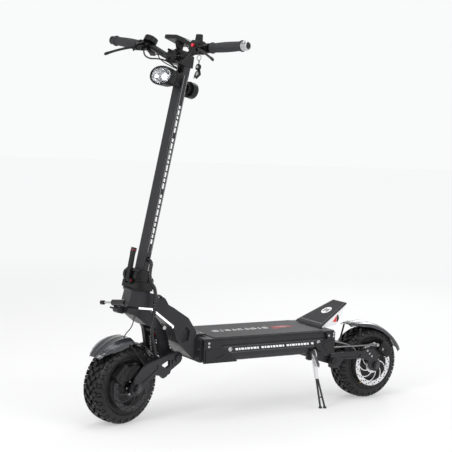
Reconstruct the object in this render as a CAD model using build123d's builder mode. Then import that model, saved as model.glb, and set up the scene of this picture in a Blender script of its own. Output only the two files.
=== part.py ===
"""Electric kick scooter: twin hub motors, sprung swingarms, folding stem.

Millimetres. +X forward, +Y to the rider's left, +Z up. The scooter stands upright on
both tyres and its kickstand, with the bars turned a little to the left.
"""
from build123d import *
from math import cos, radians, sin
import os

os.makedirs("parts", exist_ok=True)

# ---------------------------------------------------------------- driving dimensions
WHEELBASE = 1084
TYRE_R = 140
RIM_R = 100
RIM_SEAT_R = 88
ROTOR_R = 86
ROTOR_Y = 60.5
ROTOR_T = 2.0
AXLE_R = 10.0
RUNNING_GAP = 0.05

RAKE = 10.8
STEER_FOOT_X = 583
STEER_REST = 15.7
STEERER_R = 15.0
HEAD_LOW = 418
HEAD_TOP = 475
STEM_WIDTH = 44
STEM_DEPTH = 30
STEM_LOW = 549
STEM_TOP = 1290
BAR_P = 50
BAR_S = 1297
BAR_R = 11.1
BAR_CLAMP_R = 15.9
GRIP_IN = 175
GRIP_OUT = 312

DECK_FRONT = 283
DECK_REAR = -297
DECK_HALF = 119
DECK_LOW = 213
DECK_TOP = 301
WALL = 4

FRONT_ARM_IN = 75
FRONT_ARM_OUT = 87
REAR_ARM_IN = 68
REAR_ARM_OUT = 80
FRONT_PIVOT = (352, 224)
REAR_PIVOT = (-330, 172)
PIVOT_R = 8.0
FRONT_SHOCK_TOP = (402, 314)
FRONT_SHOCK_LOW = (381, 209)
REAR_SHOCK_TOP = (-312, 252)
REAR_SHOCK_LOW = (-397, 224)
STAND_PIVOT = (-206, 112, 221)

# Moves every piece so that the row's origin lies under the middle of its outline.
ROW_SHIFT = Location((13.95, -16.12, 0.34))

FRONT_X = WHEELBASE / 2
REAR_X = -WHEELBASE / 2
C = cos(radians(RAKE))
S = sin(radians(RAKE))
STEER = Plane(origin=(STEER_FOOT_X, 0, 0), x_dir=(C, 0, S), z_dir=(-S, 0, C))
STEER_SIDE = Plane(origin=(STEER_FOOT_X, 0, 0), x_dir=(C, 0, S), z_dir=(0, -1, 0))
STEER_AXIS = Axis((STEER_FOOT_X, 0, 0), (-S, 0, C))


# ---------------------------------------------------------------- helpers
def save(built, label, turned=False):
    """Writes one sub-part; the steered ones are turned to the resting angle first."""
    solid = built.part
    if turned:
        solid = solid.rotate(STEER_AXIS, STEER_REST)
    solid = solid.moved(ROW_SHIFT)
    solid.label = label
    export_step(solid, f"parts/{label}.step")


def at(p, y, s):
    """A place in the steering frame: forward of the axis, to the left, up along it."""
    return STEER.location * Location((p, y, s))


def spot(p, y, s):
    """The same place as a point in the scooter's own frame."""
    return at(p, y, s).position


def outline(plane, points, radius=0.0):
    """A closed straight-sided sketch, its corners rounded."""
    with BuildSketch(plane) as shape:
        with BuildLine():
            Polyline(*points, close=True)
        make_face()
        if radius:
            fillet(shape.vertices(), radius)
    return shape.sketch


def plate(points, y_low, y_high, radius=0.0, mode=Mode.ADD):
    """A flat plate with this outline in X and Z, between two values of Y."""
    extrude(outline(Plane.XZ.offset(-y_high), points, radius), amount=y_high - y_low, mode=mode)


def side_block(points, half, radius=0.0, mode=Mode.ADD):
    """A block with this outline in the steering frame's P and S, centred on the axis."""
    extrude(outline(STEER_SIDE, points, radius), amount=half, both=True, mode=mode)


def side_plate(points, y_low, y_high, radius=0.0, mode=Mode.ADD):
    """A plate in the steering frame between two values of Y."""
    extrude(outline(STEER_SIDE.offset(-y_high), points, radius), amount=y_high - y_low, mode=mode)


def rod(start, end, radius, inner=0.0, mode=Mode.ADD):
    """A round bar, or a tube, from one point to another."""
    first = Vector(*start)
    run = Vector(*end) - first
    with BuildSketch(Plane(origin=first, z_dir=run.normalized())) as section:
        Circle(radius)
        if inner:
            Circle(inner, mode=Mode.SUBTRACT)
    extrude(section.sketch, amount=run.length, mode=mode)


def hose(points, radius, bends):
    """A round hose through these points, every corner an arc of the given radius."""
    with BuildLine() as route:
        FilletPolyline(*points, radius=bends)
    with BuildSketch(Plane(origin=route.line @ 0, z_dir=route.line % 0)) as section:
        Circle(radius)
    sweep(section.sketch, path=route.line)


def turned_ring(plane, axis, points):
    """A ring turned from a closed profile of (distance along Y, radius)."""
    revolve(outline(plane, points), axis=axis)


def mirrored(points):
    """A profile open at Y = 0, completed by its reflection."""
    return points + [(-y, r) for y, r in reversed(points)]


def hex_nut(start, end, radius, bore=0.0):
    """A hexagon nut between two points."""
    first = Vector(*start)
    run = Vector(*end) - first
    with BuildSketch(Plane(origin=first, z_dir=run.normalized())) as section:
        RegularPolygon(radius, 6)
        if bore:
            Circle(bore, mode=Mode.SUBTRACT)
    extrude(section.sketch, amount=run.length)


# ---------------------------------------------------------------- wheels
def wheel(end, x, turned):
    """Tyre, hub motor shell and brake disc of one wheel."""
    plane = Plane(origin=(x, 0, TYRE_R), x_dir=(0, 1, 0), z_dir=(1, 0, 0))
    face = Plane(origin=(x, 0, TYRE_R), x_dir=(1, 0, 0), z_dir=(0, 1, 0))
    axis = Axis((x, 0, TYRE_R), (0, 1, 0))
    bore = AXLE_R + RUNNING_GAP

    with BuildPart() as tyre:
        half = [(0, TYRE_R), (20, 139.6), (34, 137.5), (42, 132), (45.5, 124), (46, 114), (44, 105), (41.3, 100.3),
                (37.6, 100.3), (35.8, RIM_SEAT_R)]
        turned_ring(plane, axis, half + [(-y, r) for y, r in reversed(half[1:])])
    save(tyre, f"{end}_tyre", turned)

    with BuildPart() as shell:
        turned_ring(plane, axis, [
            (41, 80), (41, RIM_R), (38, RIM_R), (35.8, RIM_SEAT_R), (-35.8, RIM_SEAT_R), (-38, RIM_R), (-41, RIM_R),
            (-41, 84), (-46, 76), (-50, 42), (-52, 22), (-52, bore), (-44, bore), (-44, 40), (-38, 74), (-38, 80)])
        turned_ring(plane, axis, [
            (38, 80), (41, 80), (46, 74), (50, 42), (57, 32), (ROTOR_Y, 32), (ROTOR_Y, bore), (44, bore),
            (44, 40), (38, 70)])
    save(shell, f"{end}_hub", turned)

    with BuildPart() as rotor:
        with BuildSketch(face.offset(ROTOR_Y)):
            Circle(ROTOR_R)
            Circle(69, mode=Mode.SUBTRACT)
            Circle(35)
            with PolarLocations(50, 6):
                with Locations(Rotation(0, 0, 38)):
                    Rectangle(54, 4.5)
            Circle(13, mode=Mode.SUBTRACT)
            for radius, start in ((73, 0), (77.5, 5), (82, 10)):
                with PolarLocations(radius, 24, start_angle=start):
                    Circle(1.9, mode=Mode.SUBTRACT)
        extrude(amount=ROTOR_T)
    save(rotor, f"{end}_rotor", turned)

wheel("front", FRONT_X, True)
wheel("rear", REAR_X, False)


def axle(end, x, plate_in, plate_out, turned):
    """The fixed axle with its stator, its spacers and its two hexagon nuts."""
    plane = Plane(origin=(x, 0, TYRE_R), x_dir=(0, 1, 0), z_dir=(1, 0, 0))
    axis = Axis((x, 0, TYRE_R), (0, 1, 0))
    with BuildPart() as shaft:
        turned_ring(plane, axis, [
            (-plate_out - 12, 0), (-plate_out - 12, AXLE_R), (-plate_in, AXLE_R), (-plate_in, 13), (-53, 13),
            (-53, AXLE_R), (64.5, AXLE_R), (64.5, 12.5), (plate_in, 12.5), (plate_in, AXLE_R),
            (plate_out + 12, AXLE_R), (plate_out + 12, 0)])
        turned_ring(plane, axis, mirrored([(26, 76), (26, 48), (8, 48), (8, 18), (30, 18), (30, AXLE_R - 1)]))
        for side in (1, -1):
            hex_nut((x, side * plate_out, TYRE_R), (x, side * (plate_out + 9), TYRE_R), 16)
    save(shaft, f"{end}_axle", turned)


axle("front", FRONT_X, FRONT_ARM_IN, FRONT_ARM_OUT, True)
axle("rear", REAR_X, REAR_ARM_IN, REAR_ARM_OUT, False)


# ---------------------------------------------------------------- deck
DECK_LENGTH = DECK_FRONT - DECK_REAR
DECK_MID = (DECK_FRONT + DECK_REAR) / 2
BAND_LOW = 275
BAND_DEPTH = 6

with BuildPart() as deck_tray:
    section = [
        (0, DECK_LOW), (98, DECK_LOW), (110, DECK_LOW + 5), (DECK_HALF - 2, DECK_LOW + 18), (DECK_HALF, DECK_LOW + 34),
        (DECK_HALF, BAND_LOW - 6), (DECK_HALF - BAND_DEPTH, BAND_LOW), (DECK_HALF - BAND_DEPTH, DECK_TOP - 8),
        (DECK_HALF, DECK_TOP - 5), (0, DECK_TOP - 5)]
    extrude(outline(Plane.YZ.offset(DECK_REAR), section), amount=DECK_LENGTH)
    mirror(about=Plane.XZ)
    with Locations((DECK_MID, 0, (DECK_LOW + WALL + DECK_TOP) / 2)):
        Box(DECK_LENGTH - 2 * WALL, 2 * (DECK_HALF - BAND_DEPTH - WALL) - 12, DECK_TOP - DECK_LOW - WALL,
            mode=Mode.SUBTRACT)
    for side in (1, -1):
        rod((DECK_REAR - 2, side * 58, 251), (DECK_REAR + 6, side * 58, 251), 4.6, mode=Mode.SUBTRACT)
        rod((DECK_REAR - 2, side * 58, 223), (DECK_REAR + 6, side * 58, 223), 4.6, mode=Mode.SUBTRACT)
    with Locations((-238, 112, 226)):
        Box(124, 16, 30, mode=Mode.SUBTRACT)
save(deck_tray, "deck_tray")

with BuildPart() as deck_cover:
    with BuildSketch(Plane.XY.offset(DECK_TOP - 5)):
        with Locations((DECK_MID, 0)):
            RectangleRounded(DECK_LENGTH, 2 * DECK_HALF, 6)
    extrude(amount=5)
    fillet(deck_cover.faces().sort_by(Axis.Z)[-1].edges(), 1.5)
save(deck_cover, "deck_cover")

MAT_FRONT = 236
MAT_REAR = -250
with BuildPart() as deck_mat:
    with BuildSketch(Plane.XY.offset(DECK_TOP)):
        with Locations(((MAT_FRONT + MAT_REAR) / 2, 0)):
            RectangleRounded(MAT_FRONT - MAT_REAR, 2 * DECK_HALF - 12, 8)
    extrude(amount=2)
save(deck_mat, "deck_mat")

TRIM_T = 3.5
with BuildPart() as deck_trims:
    plate([(283, 296), (196, 296), (214, 268), (168, 246), (140, 213.5), (283, 213.5)], DECK_HALF,
          DECK_HALF + TRIM_T, 2)
    plate([(276, 262), (214, 262), (176, 240), (236, 219), (276, 219)], DECK_HALF + TRIM_T,
          DECK_HALF + TRIM_T + 2.5, 2)
    plate([(250, 255), (226, 255), (196, 241), (233, 229), (250, 235)], DECK_HALF + TRIM_T,
          DECK_HALF + 2 * TRIM_T, 1.5, mode=Mode.SUBTRACT)
    plate([(-297, 296), (-252, 296), (-262, 270), (-230, 258), (-200, 254), (-218, 232), (-256, 213.5),
           (-297, 213.5)], DECK_HALF, DECK_HALF + TRIM_T, 2)
    plate([(-292, 266), (-270, 264), (-238, 250), (-262, 222), (-292, 220)], DECK_HALF + TRIM_T,
          DECK_HALF + TRIM_T + 2, 2)
    mirror(about=Plane.XZ)
save(deck_trims, "deck_trims")

SCREW_R = 4.2
with BuildPart() as frame_screws:
    for x, z in ((264, 274), (264, 286), (-289, 290), (-289, 279), (-266, 283)):
        rod((x, DECK_HALF + TRIM_T, z), (x, DECK_HALF + TRIM_T + 2.4, z), SCREW_R)
        rod((x, DECK_HALF + TRIM_T + 1.2, z), (x, DECK_HALF + TRIM_T + 2.6, z), 2, mode=Mode.SUBTRACT)
    rod((256, 50, 309), (256, 50, 311.6), 4.5)
    for z in (230, 262):
        rod((291, 98, z), (293.5, 98, z), 4)
    mirror(about=Plane.XZ)
save(frame_screws, "frame_screws")

with BuildPart() as battery:
    with Locations((-6, 0, 254)):
        Box(396, 186, 68)
    fillet(battery.edges().filter_by(Axis.X), 6)
save(battery, "battery_pack")

with BuildPart() as controllers:
    for x in (237, -250):
        with Locations((x, 0, 246)):
            Box(66, 150, 48)
        with GridLocations(0, 15, 1, 9):
            with Locations((x, 0, 273)):
                Box(66, 5, 8)
save(controllers, "motor_controllers")


# ---------------------------------------------------------------- neck and head
NECK_PLAN = [(560, 27), (532, 30), (446, 35), (398, 41), (352, 49), (310, 59), (283, 68)]


def plan_block(points, grow, low, high, mode):
    """A vertical block whose plan is this half outline and its reflection."""
    half = [(x, y + grow) for x, y in points]
    whole = half + [(x, -y) for x, y in reversed(half)]
    extrude(outline(Plane.XY.offset(low), whole), amount=high - low, mode=mode)


with BuildPart() as neck:
    plate([(529, 464), (534, 473), (446, 456.5), (434, 443), (366, 404), (313, 368), (286, 322), (283, 303.4),
           (283, 216), (296, 224), (346, 277), (357, 300), (368, 336), (451, 402), (541, 416)], -75, 75)
    plan_block(NECK_PLAN, 0, 200, 500, Mode.INTERSECT)
    plate([(344, 300), (322, 338), (306, 322), (311, 288), (333, 280)], 50, 80, 3, mode=Mode.SUBTRACT)
    plate([(344, 300), (322, 338), (306, 322), (311, 288), (333, 280)], -80, -50, 3, mode=Mode.SUBTRACT)
    plate([(283, 216), (291, 216), (291, 297), (283, 297)], -110, 110)
    plate([(285, 303.4), (240, 303.4), (242, 309), (285, 309)], -62, 62)
    with Locations(at(0, 0, 447)):
        Cylinder(22, 90, mode=Mode.SUBTRACT)
    plate([(424, 438.2), (417, 446), (404, 447), (382, 432), (366, 406), (372, 402)], -9, 9)
    plate([(412, 441), (400, 439), (398, 434.5), (409, 436)], -10, 10, mode=Mode.SUBTRACT)
save(neck, "neck_and_head_tube")

with BuildPart() as neck_lights:
    plate([(500, 404.5), (500, 411), (451, 406), (447, 405), (366, 341), (367, 335), (371, 332), (372, 337.5),
           (452.5, 400.2)], -80, 80)
    plan_block(NECK_PLAN, 1.6, 300, 500, Mode.INTERSECT)
    plan_block(NECK_PLAN, 0, 300, 500, Mode.SUBTRACT)
save(neck_lights, "neck_light_strips")

with BuildPart() as head_bearings:
    for low in (HEAD_LOW + 1, HEAD_TOP - 13):
        with Locations(at(0, 0, low + 5)):
            Cylinder(22, 10)
            Cylinder(STEERER_R + RUNNING_GAP, 10, mode=Mode.SUBTRACT)
save(head_bearings, "head_bearings")


# ---------------------------------------------------------------- rear carrier and footrest
with BuildPart() as rear_carrier:
    plate([(-212, 213), (-297, 213), (-301, 213), (-301, 196), (-318, 190), (-346, 180), (-346, 164), (-322, 158),
           (-262, 176), (-212, 196)], 46, 60, 3)
    mirror(about=Plane.XZ)
    plate([(-214, 213), (-296, 213), (-296, 204), (-214, 204)], -47, 47)
    plate([(-297.2, 210), (-301, 210), (-301, 266), (-297.2, 266)], -50, 50)
    plate([(-301, 262), (-301, 240), (-306, 238), (-322, 244), (-322, 258), (-312, 264)], 16, 24)
    plate([(-301, 262), (-301, 240), (-306, 238), (-322, 244), (-322, 258), (-312, 264)], -24, -16)
    rod((REAR_PIVOT[0], -62, REAR_PIVOT[1]), (REAR_PIVOT[0], 62, REAR_PIVOT[1]), PIVOT_R, mode=Mode.SUBTRACT)
    rod((REAR_SHOCK_TOP[0], -26, REAR_SHOCK_TOP[1]), (REAR_SHOCK_TOP[0], 26, REAR_SHOCK_TOP[1]), 5,
        mode=Mode.SUBTRACT)
    for side in (1, -1):
        rod((-303, side * 58, 251), (-295, side * 58, 251), 4.6, mode=Mode.SUBTRACT)
save(rear_carrier, "rear_carrier")

with BuildPart() as rear_pins:
    rod((REAR_PIVOT[0], -86, REAR_PIVOT[1]), (REAR_PIVOT[0], 86, REAR_PIVOT[1]), PIVOT_R)
    rod((REAR_PIVOT[0], 81, REAR_PIVOT[1]), (REAR_PIVOT[0], 86, REAR_PIVOT[1]), 13)
    rod((REAR_PIVOT[0], -81, REAR_PIVOT[1]), (REAR_PIVOT[0], -86, REAR_PIVOT[1]), 13)
    rod((REAR_SHOCK_TOP[0], -30, REAR_SHOCK_TOP[1]), (REAR_SHOCK_TOP[0], 30, REAR_SHOCK_TOP[1]), 5)
save(rear_pins, "rear_pivot_pins")

REST_PLAN = [(-256, 79), (-412, 40)]
REST_FRONT = (-258, 303.4)
REST_TIP = (-410, 388)


def rest_plan(inset, mode):
    """The tapering plan of the footrest, drawn in by this much on each side."""
    whole = [(-250, 80.5 - inset), (-416, 39 - inset), (-416, -39 + inset), (-250, -80.5 + inset)]
    extrude(outline(Plane.XY.offset(296), whole), amount=110, mode=mode)


with BuildPart() as footrest_plate:
    plate([(-256, 304), (-259, 312), (-406, 389.5), (-411, 389), (-409, 383.5), (-268, 308), (-268, 304)], -90, 90)
    rest_plan(0, Mode.INTERSECT)
    for low in (24, -30):
        plate([(-262, 303.3), (-294, 303.3), (-380, 362), (-390, 380), (-266, 312)], low, low + 6)
save(footrest_plate, "footrest_plate")

with BuildPart() as footrest_sides:
    plate([(-268.3, 304), (-268.3, 307.6), (-406, 381.6), (-352, 307), (-300, 304)], -90, 90)
    rest_plan(0.6, Mode.INTERSECT)
    rest_plan(4.6, Mode.SUBTRACT)
    plate([(-329, 320), (-354, 345), (-354, 319)], -90, 90, 1, mode=Mode.SUBTRACT)
save(footrest_sides, "footrest_side_panels")

with BuildPart() as tail_lights:
    plate([(-329.4, 320.4), (-353.6, 344), (-353.6, 319.4)], -90, 90, 1)
    rest_plan(1.2, Mode.INTERSECT)
    rest_plan(6, Mode.SUBTRACT)
save(tail_lights, "tail_lights")


# ---------------------------------------------------------------- kickstand
with BuildPart() as stand_bracket:
    plate([(-182, 240), (-232, 240), (-232, 206), (-224, 192), (-190, 192), (-182, 200)], 104.3, 107, 2)
    plate([(-184, 212.8), (-230, 212.8), (-230, 207), (-184, 207)], 72, 105)
    rod((STAND_PIVOT[0], 104.3, STAND_PIVOT[2]), (STAND_PIVOT[0], 121, STAND_PIVOT[2]), 5)
    rod((STAND_PIVOT[0], 118.2, STAND_PIVOT[2]), (STAND_PIVOT[0], 121, STAND_PIVOT[2]), 8.5)
    rod((-190, 106, 232), (-190, 124.5, 232), 2.2)
save(stand_bracket, "kickstand_bracket")

with BuildPart() as stand_leg:
    plate([(-195, 224), (-201, 231), (-211, 231), (-217, 222), (-231, 138), (-233, 120), (-222, 118), (-214, 150),
           (-197, 212)], 107.5, 117.5, 3)
    rod((STAND_PIVOT[0], 105, STAND_PIVOT[2]), (STAND_PIVOT[0], 118, STAND_PIVOT[2]), 5 + RUNNING_GAP,
        mode=Mode.SUBTRACT)
    rod((-222, 112, 168), (-222, 124.5, 168), 2.2)
    rod((-224.5, 112.5, 124), (-257, 106, 6), 3.8)
    rod((-230, 112.5, 124), (-273, 112, 6), 3.8)
    rod((-247, 108.5, 44), (-258, 112.2, 44), 2.6)
    rod((-258, 106, 0), (-258, 106, 6.5), 6.5)
    rod((-274, 112, 0), (-274, 112, 6.5), 6.5)
save(stand_leg, "kickstand_leg")


def coil(start, end, radius, wire, turns):
    """A helical spring between two points."""
    first = Vector(*start)
    run = Vector(*end) - first
    with BuildLine() as route:
        Helix(pitch=run.length / turns, height=run.length, radius=radius, center=start, direction=run.normalized())
    line = route.line
    with BuildSketch(Plane(origin=line @ 0, z_dir=line % 0)) as section:
        Circle(wire)
    sweep(section.sketch, path=line, is_frenet=True)


# ---------------------------------------------------------------- swingarms
def around(centre, radius, start, end, steps=5):
    """Points on an arc in X and Z, for the rounded end of a plate."""
    turn = (end - start) / steps
    angles = [radians(start + turn * i) for i in range(steps + 1)]
    return [(centre[0] + radius * cos(a), centre[1] + radius * sin(a)) for a in angles]


with BuildPart() as front_arm:
    front_end = around((FRONT_X, TYRE_R), 25, 60, -120, 6)
    pivot_end = around(FRONT_PIVOT, 23, 250, 110, 5)
    plate([(503, 219), (545, 182)] + front_end + [(500, 140), (461, 176), (432, 170), (418, 158), (402, 163),
          (379, 185)] + pivot_end + [(371, 247), (430, 236), (477, 226)], FRONT_ARM_IN, FRONT_ARM_OUT)
    plate([(432, 208), (391, 224), (389, 200), (405, 193)], FRONT_ARM_IN - 1, FRONT_ARM_OUT + 1, 3,
          mode=Mode.SUBTRACT)
    plate([(380, 220), (374, 224), (376, 206), (380, 203)], FRONT_ARM_IN - 1, FRONT_ARM_OUT + 1, 1,
          mode=Mode.SUBTRACT)
    plate([(520, 196), (470, 212), (447, 212), (447, 198), (480, 178), (524, 152)], FRONT_ARM_OUT - 3,
          FRONT_ARM_OUT + 1, 4, mode=Mode.SUBTRACT)
    chamfer(front_arm.faces().sort_by(Axis.Y)[-1].edges().filter_by(GeomType.LINE), 1.0)
    mirror(about=Plane.XZ)
    rod((384, -FRONT_ARM_IN - 1, 176), (384, FRONT_ARM_IN + 1, 176), 11)
    for low in (-17, 9):
        plate([(374, 170), (394, 170), (394, 190), (389.5, 212), (384, 217.5), (378, 217.5), (372.5, 212),
               (373, 190)], low, low + 8)
    rod((FRONT_SHOCK_LOW[0], -16, FRONT_SHOCK_LOW[1]), (FRONT_SHOCK_LOW[0], 16, FRONT_SHOCK_LOW[1]), 5)
    rod((FRONT_PIVOT[0], -90, FRONT_PIVOT[1]), (FRONT_PIVOT[0], 90, FRONT_PIVOT[1]), PIVOT_R + RUNNING_GAP,
        mode=Mode.SUBTRACT)
    rod((FRONT_X, -90, TYRE_R), (FRONT_X, 90, TYRE_R), AXLE_R, mode=Mode.SUBTRACT)
save(front_arm, "front_swingarm", True)

with BuildPart() as rear_arm:
    rear_end = around((REAR_X, TYRE_R), 25, 300, 120, 6)
    plate([(-317, 200), (-313, 150), (-320, 145), (-352, 143), (-380, 174), (-470, 172), (-505, 160), (-524, 124)]
          + rear_end + [(-556, 178), (-528, 206), (-492, 209), (-468, 200), (-440, 204), (-376, 202)],
          REAR_ARM_IN, REAR_ARM_OUT)
    plate([(-362, 195), (-366, 182), (-455, 180), (-472, 186), (-440, 196)], REAR_ARM_OUT - 4, REAR_ARM_OUT + 1, 3,
          mode=Mode.SUBTRACT)
    chamfer(rear_arm.faces().sort_by(Axis.Y)[-1].edges().filter_by(GeomType.LINE), 1.0)
    mirror(about=Plane.XZ)
    rod((-396, -REAR_ARM_IN - 1, 190), (-396, REAR_ARM_IN + 1, 190), 10)
    plate([(-388, 186), (-404, 184), (-410, 224), (-403, 235), (-391, 234), (-386, 224)], 14, 22, 3)
    plate([(-388, 186), (-404, 184), (-410, 224), (-403, 235), (-391, 234), (-386, 224)], -22, -14, 3)
    plate([(-330, 160), (-330, 184), (-394, 198), (-400, 182)], -12, 12)
    rod((REAR_SHOCK_LOW[0], -23, REAR_SHOCK_LOW[1]), (REAR_SHOCK_LOW[0], 23, REAR_SHOCK_LOW[1]), 5)
    rod((REAR_PIVOT[0], -REAR_ARM_IN - 1, REAR_PIVOT[1]), (REAR_PIVOT[0], REAR_ARM_IN + 1, REAR_PIVOT[1]), 15)
    rod((REAR_PIVOT[0], -62, REAR_PIVOT[1]), (REAR_PIVOT[0], -44, REAR_PIVOT[1]), 30, mode=Mode.SUBTRACT)
    rod((REAR_PIVOT[0], 44, REAR_PIVOT[1]), (REAR_PIVOT[0], 62, REAR_PIVOT[1]), 30, mode=Mode.SUBTRACT)
    rod((REAR_PIVOT[0], -90, REAR_PIVOT[1]), (REAR_PIVOT[0], 90, REAR_PIVOT[1]), PIVOT_R + RUNNING_GAP,
        mode=Mode.SUBTRACT)
    rod((REAR_X, -90, TYRE_R), (REAR_X, 90, TYRE_R), AXLE_R, mode=Mode.SUBTRACT)
save(rear_arm, "rear_swingarm")


# ---------------------------------------------------------------- brake calipers
def caliper(end, x, angle, ear, ear_low, ear_high, outer, turned):
    """A two-piston caliper over the disc, its mounting ear and its pads."""
    centre = (x, 0, TYRE_R)
    pose = Plane(origin=centre, x_dir=(cos(radians(angle)), 0, sin(radians(angle))), z_dir=(0, 1, 0))
    mid = (50.5 + outer) / 2
    width = outer - 50.5
    disc = ROTOR_Y + ROTOR_T / 2
    with BuildPart() as body:
        with Locations(pose.location * Location((77, 0, mid))):
            Box(42, 64, width)
        fillet(body.edges().filter_by(Axis.Y), 8)
        chamfer(body.faces().sort_by(Axis.Y)[-1].edges(), 2)
        with Locations(pose.location * Location((72, -13, outer)), pose.location * Location((72, 15, outer))):
            Cylinder(11, 3)
        plate(ear, ear_low, ear_high, 2)
        with Locations(pose.location * Location((70, 0, disc))):
            Box(40, 90, 4.6, mode=Mode.SUBTRACT)
        with Locations(pose.location * Location((76, 0, disc))):
            Box(26, 30, 13, mode=Mode.SUBTRACT)
        for offset in (disc - 4.2, disc + 4.2):
            with Locations(pose.location * Location((76, 0, offset))):
                Box(22, 28, 4.0)
    save(body, f"{end}_caliper", turned)


caliper("front", FRONT_X, 46, [(520, 214), (540, 186), (566, 172), (590, 168), (600, 190), (580, 214), (548, 222)],
        65, 74.6, 74.6, True)
caliper("rear", REAR_X, 128, [(-488, 204), (-500, 176), (-528, 168), (-560, 176), (-590, 170), (-600, 196),
        (-560, 222)], 64.6, 67.8, 82, False)


# ---------------------------------------------------------------- fenders
def arch(centre, section, start, sweep_angle):
    """A curved strip turned about a sideways axis from a profile of (distance along Y, radius)."""
    angle = radians(start)
    plane = Plane(origin=centre, x_dir=(0, 1, 0), z_dir=(sin(angle), 0, -cos(angle)))
    revolve(outline(plane, section), axis=Axis(centre, (0, -1, 0)), revolution_arc=sweep_angle)


FRONT_ARCH = (552, 0, 146)
with BuildPart() as front_fender:
    half = [(0, 161.5), (9, 160.7), (13, 158.1), (36, 156.5), (50, 150.5), (55, 141), (56, 126), (53.4, 126),
            (52.6, 140), (48, 147.9), (35, 153.5), (12, 155.1), (0, 155.5)]
    arch(FRONT_ARCH, half + [(-y, r) for y, r in reversed(half[1:-1])], 51, 46)
    plate([(510, 292), (546, 283), (570, 276), (598, 269), (635, 264), (664, 250), (676, 240), (676, 180),
           (510, 180)], -60, 60, mode=Mode.SUBTRACT)
    nose = [(0, 161.5), (9, 160.7), (13, 158.1), (30, 156.5), (40, 153), (38, 150.2), (29, 153.5), (12, 155.1),
            (0, 155.5)]
    arch(FRONT_ARCH, nose + [(-y, r) for y, r in reversed(nose[1:-1])], 40.5, 11.5)
    tail = [(0, 152.5), (36, 152), (43, 147), (40.5, 145), (35, 149), (0, 149.5)]
    arch((FRONT_X, 0, TYRE_R), tail + [(-y, r) for y, r in reversed(tail[1:-1])], 92, 49)
    arch((FRONT_X, 0, TYRE_R), [(-38, 150), (-38, 165), (38, 165), (38, 150)], 92, 7)
    for side in (1, -1):
        rod((556, side * 54.4, 286), (500, side * 70, 213), 4)
        rod((500, side * 67, 212), (500, side * 75, 212), 6.5)
save(front_fender, "front_fender", True)

REAR_ARCH = (-499, 0, 70)
with BuildPart() as rear_fender:
    half = [(0, 236), (9, 235.2), (13, 232.6), (32, 231.6), (46, 226), (52, 216), (52, 205), (49.4, 205),
            (49.4, 214), (44, 223.6), (31, 228.8), (12, 229.8), (0, 230.2)]
    arch(REAR_ARCH, half + [(-y, r) for y, r in reversed(half[1:-1])], 75.5, 79)
    for side in (1, -1):
        rod((-478, side * 50.7, 284), (-462, side * 64, 198), 4)
        rod((-462, side * 62, 195), (-462, side * 68, 195), 5)
    rod((-612, -50.7, 245), (-550, -63, 160), 3.5)
    rod((-549, -60, 157), (-549, -68, 157), 5)
save(rear_fender, "rear_fender")


# ---------------------------------------------------------------- fork
FORK_PLAN = [(556, 22), (536, 32), (500, 34), (464, 36), (430, 44), (320, 44)]
FOLD_PIN = (-26, 514)
LEVER_PIN = (50.5, 505)

with BuildPart() as fork:
    plate([(551, 414), (547, 391), (523, 384), (472, 349), (450, 338), (430, 333), (419, 318), (411, 290),
           (403, 258), (392, 224), (368, 204), (345, 204), (336, 224), (344, 246), (352, 250), (366, 285),
           (384, 322), (440, 380), (464, 397.5)], -60, 60, 2)
    plan_block(FORK_PLAN, 0, 190, 430, Mode.INTERSECT)
    plate([(480, 330), (446, 346), (392, 346), (372, 330), (330, 262), (320, 190), (430, 190)], -29, 29,
          mode=Mode.SUBTRACT)
    for side in (1, -1):
        rod((FRONT_PIVOT[0], side * 29, FRONT_PIVOT[1]), (FRONT_PIVOT[0], side * 72, FRONT_PIVOT[1]), 20)
    rod((FRONT_PIVOT[0], -30, FRONT_PIVOT[1]), (FRONT_PIVOT[0], 30, FRONT_PIVOT[1]), 12)
    rod((FRONT_PIVOT[0], -92, FRONT_PIVOT[1]), (FRONT_PIVOT[0], 92, FRONT_PIVOT[1]), PIVOT_R)
    rod((FRONT_SHOCK_TOP[0], -48, FRONT_SHOCK_TOP[1]), (FRONT_SHOCK_TOP[0], 48, FRONT_SHOCK_TOP[1]), 5)
    for side in (1, -1):
        rod((FRONT_SHOCK_TOP[0], side * 8, FRONT_SHOCK_TOP[1]), (FRONT_SHOCK_TOP[0], side * 30,
                                                                 FRONT_SHOCK_TOP[1]), 10)
    for side in (1, -1):
        rod((FRONT_PIVOT[0], side * 88, FRONT_PIVOT[1]), (FRONT_PIVOT[0], side * 92, FRONT_PIVOT[1]), 13)
    side_plate([(26, 410), (66, 410), (71, 405), (71, 392), (64, 387), (40, 386)], -24, -1, 2)
    rod(spot(74, -34, 400), spot(74, 2, 400), 3.5)
    rod(spot(60, -12, 400), spot(74, -12, 400), 7)
    rod(spot(0, 0, 405), spot(0, 0, 500), STEERER_R)
    rod(spot(0, 0, 408), spot(0, 0, 416), 24)
    rod(spot(0, 0, 475.5), spot(0, 0, 480), 24)
save(fork, "fork", True)

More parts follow.
